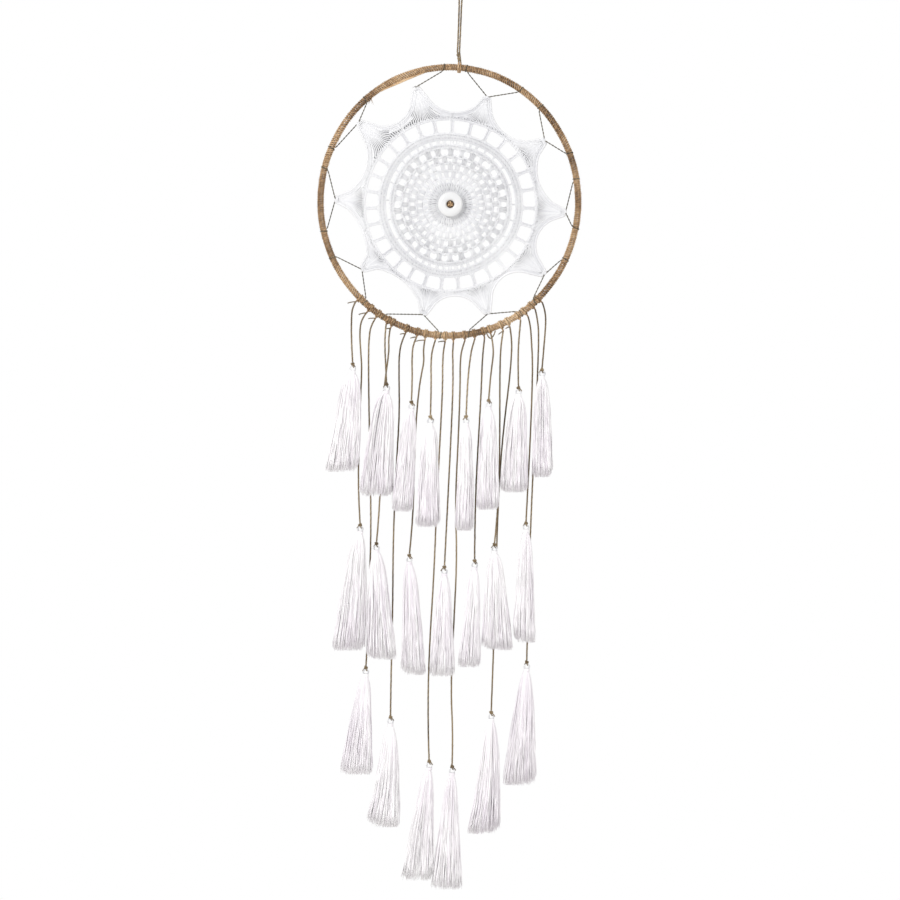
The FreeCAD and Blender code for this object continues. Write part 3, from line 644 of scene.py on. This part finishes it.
# The doily's points: direction in degrees, distance of the tip from the doily's middle, and how
# far out the hollow that follows the point clockwise is.
POINTS = [
    (70.8, 0.1275, 0.099), (34.0, 0.128, 0.101), (-4.0, 0.1295, 0.1025), (-36.5, 0.1315, 0.099),
    (-71.0, 0.1295, 0.101), (-103.7, 0.127, 0.099), (-143.7, 0.123, 0.1013),
    (-182.6, 0.129, 0.1017), (-222.0, 0.138, 0.108), (-253.6, 0.137, 0.102),
]
# Where the lacing leaves and reaches the hoop on either side of each point, in degrees. It
# starts at the last point.
LACING_PLACES = [
    (83.0, 57.3), (46.0, 22.1), (10.4, -12.0), (-26.4, -49.2), (-57.0, -81.7),
    (-93.5, -119.7), (-130.0, -154.1), (-166.2, -195.0), (-204.2, -230.0), (None, -267.7),
]
EYE_DEPTH = 0.0013      # how far inside a tip its eye is
LACING_TURN = TUBE - 0.0004
LACING_STEP = 0.0005
LACING_BEHIND = 0.008   # how far behind the hoop's middle the twine goes from turn to turn
STRAIGHT_RUN = 0.0072   # how long each end of a straight leg is
THROUGH = 0.002 * BACKWARD  # from the middle of an eye to either side of the doily
BEHIND = LACING_BEHIND / LACING_TURN


def lacing_turn(angle, corners, first=0):
    """The corners of a squared turn round the hoop, each a step further clockwise."""
    (middle,), (outward,) = hoop_place(angle)
    onward = np.cross(outward, BACKWARD) * -1
    return [middle + LACING_TURN * (outward * away + BACKWARD * behind) + onward * LACING_STEP * number
            for number, (away, behind) in enumerate(corners, start=first)]


def straight_leg(start, end):
    """Two points that keep a leg of twine straight, each a short run from one of its ends."""
    run = unit(end - start) * STRAIGHT_RUN
    return [start + run, end - run]


route = []
last = len(POINTS) - 1
for number in [last, *range(last)]:
    leave, reach = LACING_PLACES[number]
    angle, distance, _ = POINTS[number]
    turn = math.radians(angle)
    eye = DOILY + (distance - EYE_DEPTH) * np.array([math.cos(turn), 0, math.sin(turn)])
    if leave is not None:
        corners = [(0, BEHIND), (-1, 1), (-1, -1), (1, -1), (1, 1), (-1, 1)]
        route += lacing_turn(leave, corners, first=-1)
        route += straight_leg(route[-1], eye + THROUGH)
    after = (-1, 1) if number == last - 1 else (0, BEHIND)
    turn_on = lacing_turn(reach, [(-1, -1), (1, -1), (1, 1), after])
    route += [eye + THROUGH, eye - THROUGH]
    route += straight_leg(eye - THROUGH, turn_on[0]) + turn_on
yarns = Yarns()
line = even(nurbs_line(route), 0.0007)
yarns.add(plied(line, 2, 0.00034, 0.008), 0.00036, 5)
tied = route[0] - 0.003 * BACKWARD  # to the last point
add_knot(yarns, tied, 0.0012, 0.6, 0.0003, 0.00032, sides=4)
yarns.make("lacing_strands", "hoop", "lacing", LACING, ["lacing_twine"])

# ---- doily

WARP_EDGE = 0.12        # the crochet is pulled a little out of true inside this distance
# Radii of the threads: plain ones, the first two rounds, the mesh's rings and walls, the bars
# between slots, the rounds outside them, and the chains.
COMMON, HUB, NEXT_TO_HUB, RING, WALL = 0.0006, 0.0009, 0.00072, 0.00058, 0.00062
BAR, OUTER, CHAIN = 0.0005, 0.00064, 0.00068
BACKING = 0.0009        # how far behind the stitches the backing lies


def on_doily(distance, angle, lift):
    """Points on the doily, given by distance and direction in degrees from its middle."""
    distance, angle, lift = np.broadcast_arrays(distance, angle, lift)
    turn = np.radians(angle)
    pulled = np.clip(1 - (distance / WARP_EDGE) ** 2, 0, 1)
    distance = distance * (1 + pulled * (0.014 * np.sin(3 * turn + 1) + 0.01 * np.sin(5 * turn + 4)))
    turn = turn + pulled * 0.012 * np.sin(4 * turn)
    return DOILY + np.stack([distance * np.cos(turn), -lift, distance * np.sin(turn)], axis=-1)


def beside_spoke(place, angle, aside, lift):
    """Points on the doily this far to the side of a direction from its middle."""
    return on_doily(place, angle + np.degrees(aside / place), lift)


def braid(yarns, distance, thread=COMMON):
    """A chain-stitched ring: three strands that weave over each other."""
    waves = round(TURN * distance / 0.0052)
    share = np.linspace(0, 1, waves * 7, endpoint=False)
    paths = []
    for strand in range(3):
        phase = TURN * (waves * share + strand / 3)
        place, lift = distance + 0.0007 * np.sin(phase), 0.0004 * np.sin(2 * phase)
        paths.append(on_doily(place, 360 * share, lift))
    yarns.add(paths, thread, 5, closed=True)


def stitches(yarns, low, high, amount, thread=COMMON, splay=0.5, points=5):
    """A round of stitches: pairs of strands that spread like a V from one ring to the next."""
    share = np.linspace(0, 1, points)
    step = 360 / amount
    shift = rng.normal(size=(amount, 1)) * step * 0.06
    foot = step * np.arange(amount)[:, None] + shift
    for side in (-1, 1):
        angle = foot + side * splay * step * share
        lift = side * 0.0003 + 0.0004 * np.sin(math.pi * share)
        yarns.add(on_doily(low + (high - low) * share, angle, lift), thread, 5)


def underside(yarns, low, high):
    """Rings of thread behind the stitches, which close the gaps between them; they get the grey
    painted-shade cotton, which paints the shadow in those gaps.
    """
    turns = 360 * np.linspace(0, 1, 160, endpoint=False)
    for distance in np.arange(low, high, 0.001):
        yarns.add(on_doily(distance, turns, -BACKING), COMMON, 4, closed=True)


HOLES = 30              # in each row of the mesh
# The mesh's rows of holes: distance from the middle, half their height and half their width.
HOLE_ROWS = [
    (0.0266, 0.0022, 0.0009), (0.0341, 0.003, 0.0013), (0.0425, 0.003, 0.0018),
    (0.0503, 0.0025, 0.0025), (0.0589, 0.0036, 0.0034),
]
# Wavy rings between the rows of holes: distance from the middle and how far each waves.
MESH_RINGS = [
    (0.0236, 0.0001), (0.0296, 0.0003), (0.0302, 0.0003), (0.038, 0.0006), (0.0386, 0.0006),
    (0.0463, 0.0008), (0.0469, 0.0008), (0.0537, 0.001), (0.0544, 0.001), (0.0634, 0.0004),
    (0.0642, 0.0002),
]
# Where the slots and the windows start and end.
SLOT_RING, SLOT_END, WINDOW_START, WINDOW_END = 0.067, 0.0722, 0.0798, 0.0952

# behind gathers the threads at the back of the doily, all made in grey cotton that paints the shadow
# behind the stitches
yarns, behind = Yarns(), Yarns()
stitches(yarns, 0.0045, 0.0145, 34, HUB, points=6)
stitches(yarns, 0.014, 0.0242, 52, NEXT_TO_HUB, splay=0.42, points=9)
braid(yarns, 0.0148, 0.0007)
underside(behind, 0.005, 0.024)
share = np.linspace(0, 1, HOLES * 14, endpoint=False)
for number, (distance, swing) in enumerate(MESH_RINGS):
    wave = np.cos(TURN * HOLES * share + math.pi * ((number + 1) // 2 % 2))
    for strand in range(2):
        ripple = 0.00018 * np.sin(TURN * 90 * share + 2.1 * strand)
        lift = 0.0005 * np.sin(TURN * (75 * share + strand / 2))
        place = distance + swing * wave + (strand - 0.5) * 0.0008 + ripple
        yarns.add(on_doily(place, 360 * share, lift), RING, 5, closed=True)
        behind.add(on_doily(place, 360 * share, -BACKING), COMMON, 4, closed=True)
for row, (middle_place, half_tall, half_wide) in enumerate(HOLE_ROWS):
    share = np.linspace(-1, 1, 13)
    place = middle_place + (half_tall + 0.0006) * share
    wall = (row % 2 + 1 + 2 * np.arange(HOLES)[:, None]) * 180 / HOLES
    wall = wall + rng.normal(size=(HOLES, 1)) * 0.6
    hole = half_wide * rng.uniform(0.75, 1.2, (HOLES, 1))
    half_wall = math.pi * place / HOLES - hole * np.sqrt(np.clip(1 - share ** 2, 0, 1))
    place = place + rng.normal(size=(HOLES, 1)) * 0.00035
    for lane in (-0.8, -0.4, 0.0, 0.4, 0.8):
        aside = lane * half_wall
        lift = 0.0005 - 0.0005 * abs(lane) + 0.0003 * np.cos(math.pi * share / 2)
        yarns.add(beside_spoke(place, wall, aside, lift), WALL, 5)
        aside = aside - 0.2 * np.sign(lane) * half_wall
        behind.add(beside_spoke(place, wall, aside, -0.0008), 0.0007, 4)
stitches(yarns, 0.0638, SLOT_RING, 130, points=4)
braid(yarns, SLOT_RING)
underside(behind, 0.064, 0.0673)
yarns.make("doily_mesh", "hoop", "cotton", COTTON, ["doily"])

yarns = Yarns()
share = np.linspace(0, 1, 5)
bar = 0.0
while bar < 355:  # the slots are long at the sides and short at the top and the bottom
    sideways = abs(math.cos(math.radians(bar)))
    for side in (-1, 0, 1):
        aside = side * (0.0003 + 0.001 * (1 - sideways) + 0.0009 * (2 * share - 1) ** 2)
        place = SLOT_RING + (SLOT_END - SLOT_RING) * share
        yarns.add(beside_spoke(place, bar, aside, 0.0), BAR, 5)
    bar += (6.0 + 13.0 * sideways ** 3) * rng.uniform(0.85, 1.15)
MIDDLE_CHAIN, LAST_CHAIN = 0.0762, WINDOW_START - 0.0004
braid(yarns, SLOT_END + 0.0007, CHAIN)
stitches(yarns, SLOT_END + 0.001, MIDDLE_CHAIN, 140, OUTER, points=4)
braid(yarns, MIDDLE_CHAIN, CHAIN)
stitches(yarns, MIDDLE_CHAIN, LAST_CHAIN, 140, OUTER, points=4)
braid(yarns, LAST_CHAIN, CHAIN)
underside(behind, SLOT_END + 0.0004, WINDOW_START - 0.0002)

# The windows are wider at the upper right, where the doily is stretched more.
WIDE_WINDOWS, NARROW_WINDOWS = 8, 22
WINDOW_FROM, WINDOW_TO = 95.1, -9.0
wide = (WINDOW_TO - WINDOW_FROM) / WIDE_WINDOWS
narrow = (-360 - wide * WIDE_WINDOWS) / NARROW_WINDOWS
bars = [WINDOW_FROM + wide * (number + 0.5) for number in range(WIDE_WINDOWS)]
bars += [WINDOW_TO + narrow * (number + 0.5) for number in range(NARROW_WINDOWS)]
share = np.linspace(0, 1, 16)
for bar in bars:
    for lane in (-1, 0, 1):
        aside = lane * (0.00125 + 0.0022 * (2 * share - 1) ** 6)
        place = WINDOW_START + (WINDOW_END - WINDOW_START) * share
        line = beside_spoke(place, bar, aside, 0.0002 - 0.0006 * (lane == 0))
        yarns.add(plied(line, 2, 0.0004, 0.0045, start=rng.random()), RING, 5)
ROUND_END = 0.0982
braid(yarns, WINDOW_END, CHAIN)
stitches(yarns, WINDOW_END, ROUND_END, 170, OUTER, points=4)
underside(behind, WINDOW_END, ROUND_END)

TAPER, HALF_BASE, HALF_TIP = 0.016, 0.0095, 0.0025
OVERLAP = -0.03         # how far past the middle of the hollow a fan's edge starts


def beside(angle, reach, aside):
    """A point of the doily's plane as a complex number: this far out, and this far to the left."""
    return (reach + 1j * aside) * np.exp(1j * math.radians(angle))


def arc_to(first, through, last, amount):
    """Points on the arc through three points, from just before the middle one to the last."""
    w = (last - first) / (through - first)
    centre = (first - through) * (abs(w) ** 2 - w) / (2j * w.imag) + first
    turn = np.angle((last - centre) / (through - centre))
    return centre + (through - centre) * np.exp(1j * turn * np.linspace(OVERLAP, 1, amount))


def fan_edge(number, other):
    """A point's edge, from the hollow between it and a neighbour out to its tip."""
    angle, reach, hollow = POINTS[number]
    next_angle, next_reach, next_hollow = POINTS[other % len(POINTS)]
    next_angle += 360 * round((angle - next_angle) / 360)
    side = 1 if next_angle > angle else -1
    hollow = next_hollow if side == 1 else hollow
    base = beside(angle, reach - TAPER, side * HALF_BASE)
    far_base = beside(next_angle, next_reach - TAPER, -side * HALF_BASE)
    valley = beside((angle + next_angle) / 2, hollow, 0)
    arc = arc_to(far_base, valley, base, 14)
    tip = beside(angle, reach, side * HALF_TIP)
    return np.concatenate([arc, base + (tip - base) * np.linspace(0.15, 1, 8)])


def on_plane(plane, lift):
    """Points of the doily's plane, given as complex numbers, this far in front of it."""
    return DOILY + np.stack([plane.real, -np.broadcast_to(lift, plane.shape), plane.imag], axis=-1)


INNER_EDGE = 0.0962     # where the fans' threads start
ROW_FROM, DIVE_FROM, DIVE = 0.0957, 0.0985, 0.0012   # a row's end lies behind the ring's stitches
ROWS, LONG_ROWS, ROW_STEP = 7, 4, 0.00105   # along each edge, and those that reach the point
HOLLOW_REACH = 0.004    # how far out from the hollow the other rows go
LANE = 0.09             # the bundles' spacing, as a share of the way from the spine to the edge
FEW_LANES, MANY_LANES = 7, 11
FAR_HOLLOW = 0.104      # a hollow this far out has many lanes beside it
BUNDLE = (0.0008, 0.00062)  # a bundle's radius at the ring and at the point
edging = []
for number, (angle, reach, _) in enumerate(POINTS):
    left, right = fan_edge(number, number - 1), fan_edge(number, number + 1)
    edging += list(left[:-1]) + list(right[::-1][1:-1])
    spine_angle = math.radians(angle)
    for edge in (left, right):
        edge_turn = np.angle(edge * np.exp(-1j * spine_angle))
        side = np.sign(edge_turn[0])
        out = np.abs(edge)
        rise = (out - out[0]) / (out[-1] - out[0])
        spine = INNER_EDGE + (reach - 0.0006 - INNER_EDGE) * rise
        lanes = MANY_LANES if out[0] > FAR_HOLLOW else FEW_LANES
        for lane in LANE * (np.arange(lanes) + 0.5):  # bundles with grooves between them
            distance = spine + (out - spine) * lane
            distance[0] = INNER_EDGE
            bundle, groove = (distance * np.exp(1j * (spine_angle + side * np.abs(edge_turn) * share))
                              for share in (lane, lane - LANE / 2))
            yarns.add(on_plane(bundle, 0.0), np.linspace(*BUNDLE, len(edge)), 5)
            # a grey thread deep behind each groove: painted shade that makes the groove read as a shadowed
            # line
            behind.add(on_plane(groove, -0.0025), 0.0011, 4)
        along = np.gradient(edge)
        inward = 1j * along / np.abs(along)
        toward = beside(angle, INNER_EDGE, 0) - edge
        inward = inward * np.sign((inward * np.conj(toward)).real)
        for lane in range(1, ROWS + 1):  # rows of stitches that follow the edge
            row = edge + inward * ROW_STEP * lane
            short = (lane > LONG_ROWS) & (out > out[0] + HOLLOW_REACH)
            row = row[(np.abs(row) > ROW_FROM) & ~short]
            inside = side * np.angle(row * np.exp(-1j * spine_angle)) > 0.0
            row = row[:len(row) if inside.all() else int(np.argmin(inside))]
            if len(row) > 2:
                dive = DIVE * np.clip((DIVE_FROM - np.abs(row)) / (DIVE_FROM - INNER_EDGE), 0, 1)
                lift = 0.0002 * (-1) ** lane + 0.00015 * (number % 2) - dive
                yarns.add(on_plane(row, lift), CHAIN, 5)
                behind.add(on_plane(row, -BACKING), 0.0008, 4)
    turn = full_turn(14)
    for back in (0.0015, 0.0028, 0.0041):  # stitches round the blunt tip
        half = HALF_TIP + (HALF_BASE - HALF_TIP) * back / TAPER
        ring = beside(angle, reach - back + 0.0004 * np.sin(turn), half * np.cos(turn))
        yarns.add(on_plane(ring, 0.0012 * np.sin(turn)), 0.0007, 5, closed=True)
edging = on_plane(np.array(edging), 0.0002)
edging = even(np.concatenate([edging, edging[:1]]), STEP)[:-1]
yarns.add(plied(edging, 3, 0.0006, 0.0055, closed=True), CHAIN, 5, closed=True)
yarns.make("doily_border", "hoop", "cotton", COTTON, ["doily_points"])
# the back threads, in cotton painted grey as shade
behind.make("doily_underside", "hoop", "cotton", COTTON_PAINTED_SHADE)

# ---- bead and its tie

def grid_mesh(name, points, wraps):
    """A mesh over a grid of points, closed round its rows and, if it wraps, its columns."""
    number = np.arange(points.shape[0] * points.shape[1]).reshape(points.shape[:2])
    here, there = (number, np.roll(number, -1, axis=0)) if wraps else (number[:-1], number[1:])
    faces = np.stack([here, np.roll(here, -1, axis=1), np.roll(there, -1, axis=1), there], axis=-1)
    mesh = bpy.data.meshes.new(name)
    mesh.from_pydata(points.reshape(-1, 3).tolist(), [], faces.reshape(-1, 4).tolist())
    return mesh


BEAD_STEPS, SQUARENESS, CROWN_FALL = 120, 0.82, 0.22
section = full_turn(36)
half_ring, half_thick = (BEAD_RADIUS - BEAD_HOLE) / 2, (bead_high[1] - bead_low[1]) / 2
ring = np.sign(np.cos(section)) * np.abs(np.cos(section)) ** SQUARENESS
rise = np.sign(np.sin(section)) * np.abs(np.sin(section)) ** SQUARENESS
distance = BEAD_HOLE + half_ring * (1 + ring)
crown = half_thick * rise * (1 - CROWN_FALL * (ring + 1) / 2)
turns = full_turn(BEAD_STEPS)
points = np.stack([np.outer(np.cos(turns), distance), np.outer(np.ones(BEAD_STEPS), crown),
                   np.outer(np.sin(turns), distance)], axis=-1)
points += np.array([DOILY[0], (bead_low[1] + bead_high[1]) / 2, DOILY[2]])
mesh = grid_mesh("bead", points, wraps=True)
mesh.shade_smooth()
settle(mesh, "bead", "hoop", GLOSS, ["centre_bead"])

yarns = Yarns()
for depth, tilt in ((-0.0052, 0.3), (-0.0076, 1.4)):
    add_knot(yarns, DOILY + depth * BACKWARD, 0.0026, tilt, 0.0005, 0.0007)
share = np.linspace(0, 1, 90)
turn = TURN * 3.2 * share
spiral = 0.001 + 0.0041 * share
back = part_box("bead_tie")[1].y - CORD / 2
coil = DOILY + np.stack([spiral * np.cos(turn), np.full(90, back), spiral * np.sin(turn)], axis=1)
through = DOILY + np.linspace(-0.004, back, 12)[:, None] * BACKWARD
add_cord(yarns, even(np.concatenate([through, coil]), STEP))
yarns.make("bead_twine", "hoop", "jute", JUTE, ["bead_tie"])

# ---- tassels

# Each tassel: half the width of its hem, how far its hem hangs to the right of its knot, how
# late it bends that way, and how much its hem slants.
TASSELS = [
    (0.0165, -0.0115, 1.2, -0.02), (0.0175, -0.0132, 1.0, 0.0), (0.0172, -0.0104, 1.0, 0.01),
    (0.0172, -0.0117, 0.8, 0.0), (0.016, 0.0047, 1.0, 0.02), (0.018, -0.009, 1.9, 0.05),
    (0.011, -0.0104, 0.9, 0.0), (0.0128, 0.0048, 1.0, 0.02), (0.0125, -0.0025, 1.0, 0.0),
    (0.0165, -0.013, 1.0, 0.0), (0.0128, -0.0027, 1.0, 0.0), (0.0158, -0.0064, 1.0, 0.0),
    (0.0095, -0.002, 1.0, 0.0), (0.011, -0.0061, 1.1, 0.0), (0.0118, -0.0011, 1.0, 0.0),
    (0.016, 0.0027, 1.0, 0.03), (0.0172, -0.0082, 1.8, -0.03), (0.014, -0.0051, 1.0, 0.0),
    (0.0116, -0.002, 1.0, 0.03), (0.0182, -0.0087, 1.2, -0.02), (0.0108, 0.0009, 1.0, -0.02),
]
THREADS, LOCKS = 480, 60
THREAD, LOOP_THREAD = 0.00036, 0.00045
THREAD_POINTS = 15
LOOP_DROP, LOOP_WIDE, LOOP_TALL = 0.0047, 0.0029, 0.0028
BINDING_FROM, BINDING_HEIGHT, BINDING_RADIUS = 0.0072, 0.0026, 0.0029
HEM_DEPTH = 0.0068
FULLNESS = 1.06
SHOULDER = {1: 0.5, 2: 0.36, 3: 0.22}   # the share of its width that a skirt has at once, in each row
SHOULDER_DROP = 0.085   # within about this share of its length


def skirt(yarns, knot, length, half_hem, lean, bend, slant, shoulder):
    """Threads that fall from the binding to the hem, in locks that wander a little."""
    lock = rng.integers(0, LOCKS, THREADS)
    lock_angle = rng.uniform(0, TURN, LOCKS)
    angle = lock_angle[lock] + rng.normal(size=THREADS) * 0.28
    reach = np.sqrt(rng.uniform(0.25, 1.0, LOCKS))[lock]
    reach = np.clip(reach + rng.normal(size=THREADS) * 0.1, 0.1, 1.0)
    trim = rng.normal(size=LOCKS)[lock] * 0.009 + rng.normal(size=THREADS) * 0.014
    side = np.cos(angle) * reach
    trim = trim + slant * side - 0.035 * np.abs(side) ** 5 + 0.012
    share = np.linspace(0, 1, THREAD_POINTS) ** 1.5
    fall = length * (1 + np.clip(trim, -0.08, 0.035))
    down = BINDING_FROM + share * (fall[:, None] - BINDING_FROM)
    skirt_top = BINDING_FROM + BINDING_HEIGHT * 0.6
    below = np.clip((down - skirt_top) / (length - skirt_top), 0, 1)
    spread = shoulder * (1 - np.exp(-below / SHOULDER_DROP)) + (1 - shoulder) * below
    neck = BINDING_RADIUS - 0.0005
    wide = neck + (half_hem * FULLNESS - neck) * spread
    deep = neck + (HEM_DEPTH - neck) * spread
    phase = rng.uniform(0, TURN, (2, LOCKS))[:, lock, None]
    own = rng.uniform(0, TURN, (2, THREADS))[..., None]
    drift = 0.0009 * spread * np.sin(5.5 * share + phase) + 0.0003 * spread * np.sin(16 * share + own)
    x = knot[0] + lean * (down / length) ** bend + side[:, None] * wide + drift[0]
    y = knot[1] + (np.sin(angle) * reach)[:, None] * deep + drift[1]
    paths = np.stack([x, y, knot[2] - down], axis=-1)
    thickness = np.full(THREAD_POINTS, THREAD)
    thickness[-1] = THREAD * 0.5
    yarns.add(paths, thickness, 4)


for number, (half_hem, lean, bend, slant) in enumerate(TASSELS):
    name = f"tassel_{number + 1:02d}"
    knot = JOINT[name + "_swing"]
    length = knot[2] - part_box(name)[0].z
    yarns = Yarns()
    skirt(yarns, knot, length, half_hem, lean, bend, slant, SHOULDER[STRINGS[number][0]])
    loop = Yarns()
    turn = full_turn(28)
    for strand in range(6):
        size = 1 + 0.14 * rng.normal()
        tilt = rng.normal() * 0.25
        cosine, sine = math.cos(tilt), math.sin(tilt)
        across, tall = LOOP_WIDE * size * np.sin(turn), LOOP_TALL * np.cos(turn)
        ring = np.stack([across * cosine - tall * sine, LOOP_THREAD * (strand - 2.5) + 0.25 * across,
                         across * sine + tall * cosine - LOOP_DROP], axis=1)
        loop.add(knot + ring, LOOP_THREAD, 4, closed=True)
    loop.make(name + "_loop", name, "tassel_thread", COTTON)
    share = np.linspace(0, 1, 120)
    turn = TURN * 6 * share
    helix = np.stack([BINDING_RADIUS * np.cos(turn), BINDING_RADIUS * np.sin(turn),
                      -BINDING_FROM - BINDING_HEIGHT * share], axis=1)
    yarns.add(knot + helix, LOOP_THREAD, 5)
    yarns.make(name + "_threads", name, "tassel_thread", SILK, [name])

    yarns = Yarns()
    add_knot(yarns, knot, 0.0017, rng.uniform(0, 3), 0.0004, 0.0006)
    share = np.linspace(0, 1, 24)
    half = np.stack([0.0011 * np.sin(math.pi * share), 0.0016 * np.cos(math.pi * share),
                     -0.0012 - 0.0024 * np.sin(math.pi * share)], axis=1)
    yarns.add(knot + half, 0.0006, 4)  # the bight that passes through the tassel's thread loop
    share = np.linspace(0, 1, 10)[:, None]
    aim = unit(np.array([rng.choice([-1.0, 1.0]), -0.5, -0.4]))
    tail = knot + rng.uniform(0.003, 0.005) * (aim * share + np.array([0, 0, -0.5]) * share ** 2)
    yarns.add(plied(tail, 3, 0.0003, 0.004), 0.00032, 4)
    yarns.make(f"end_knot_{number + 1:02d}", name, "jute", STRING_JUTE)

# ---- stage and light

WORLD_STRENGTH = 0.78
world = bpy.data.worlds.new("world")
bpy.context.scene.world = world
world.use_nodes = True
world.node_tree.nodes["Background"].inputs["Color"].default_value = (1.0, 1.0, 1.0, 1.0)
world.node_tree.nodes["Background"].inputs["Strength"].default_value = WORLD_STRENGTH
bpy.context.scene.view_settings.view_transform = "Standard"


def lamp(name, place, size, power):
    """A soft square light that faces the middle of the object."""
    data = bpy.data.lights.new(name, "AREA")
    data.size = size
    data.energy = power
    light = bpy.data.objects.new(name, data)
    light.location = place
    aim = Vector((VIEW_CENTRE[0], 0, VIEW_CENTRE[1])) - light.location
    light.rotation_euler = aim.to_track_quat("-Z", "Y").to_euler()
    bpy.context.scene.collection.objects.link(light)


lamp("key", (-1.9, -2.2, 0.9), 1.0, 50.0)
lamp("fill", (2.2, -2.4, -0.2), 1.6, 16.0)

FLOOR_RADIUS, FLOOR_HEIGHT = 2.0, -1.35
floor_mesh = bpy.data.meshes.new("floor")
rim = [(FLOOR_RADIUS * math.cos(turn), FLOOR_RADIUS * math.sin(turn), FLOOR_HEIGHT)
       for turn in full_turn(96)]
floor_mesh.from_pydata(rim, [], [list(range(96))])
floor_mesh.materials.append(solid_material(
    "pale_floor", [(0.3, srgb(236, 235, 233)), (0.7, srgb(241, 240, 238))],
    scale=3.0, roughness=0.8, metallic=0.0, coat=0.0, bump=0.02))
floor = bpy.data.objects.new("floor", floor_mesh)

white = bpy.data.materials.new("white_surround")
white.use_nodes = True
white.node_tree.nodes.clear()
glow = white.node_tree.nodes.new("ShaderNodeEmission")
output = white.node_tree.nodes.new("ShaderNodeOutputMaterial")
white.node_tree.links.new(glow.outputs["Emission"], output.inputs["Surface"])
SURROUND = 12.0         # radius of the white sphere round the scene
band = np.linspace(-math.pi / 2, math.pi / 2, 24)
turns = full_turn(48)
points = SURROUND * np.stack([np.outer(np.cos(band), np.cos(turns)), np.outer(np.cos(band), np.sin(turns)),
                              np.outer(np.sin(band), np.ones(48))], axis=-1)
surround_mesh = grid_mesh("surround", points, wraps=False)
surround_mesh.materials.append(white)
surround = bpy.data.objects.new("surround", surround_mesh)
surround.visible_diffuse = False
surround.visible_glossy = False
surround.visible_shadow = False
for prop in (floor, surround):
    bpy.context.scene.collection.objects.link(prop)

bpy.context.view_layer.update()
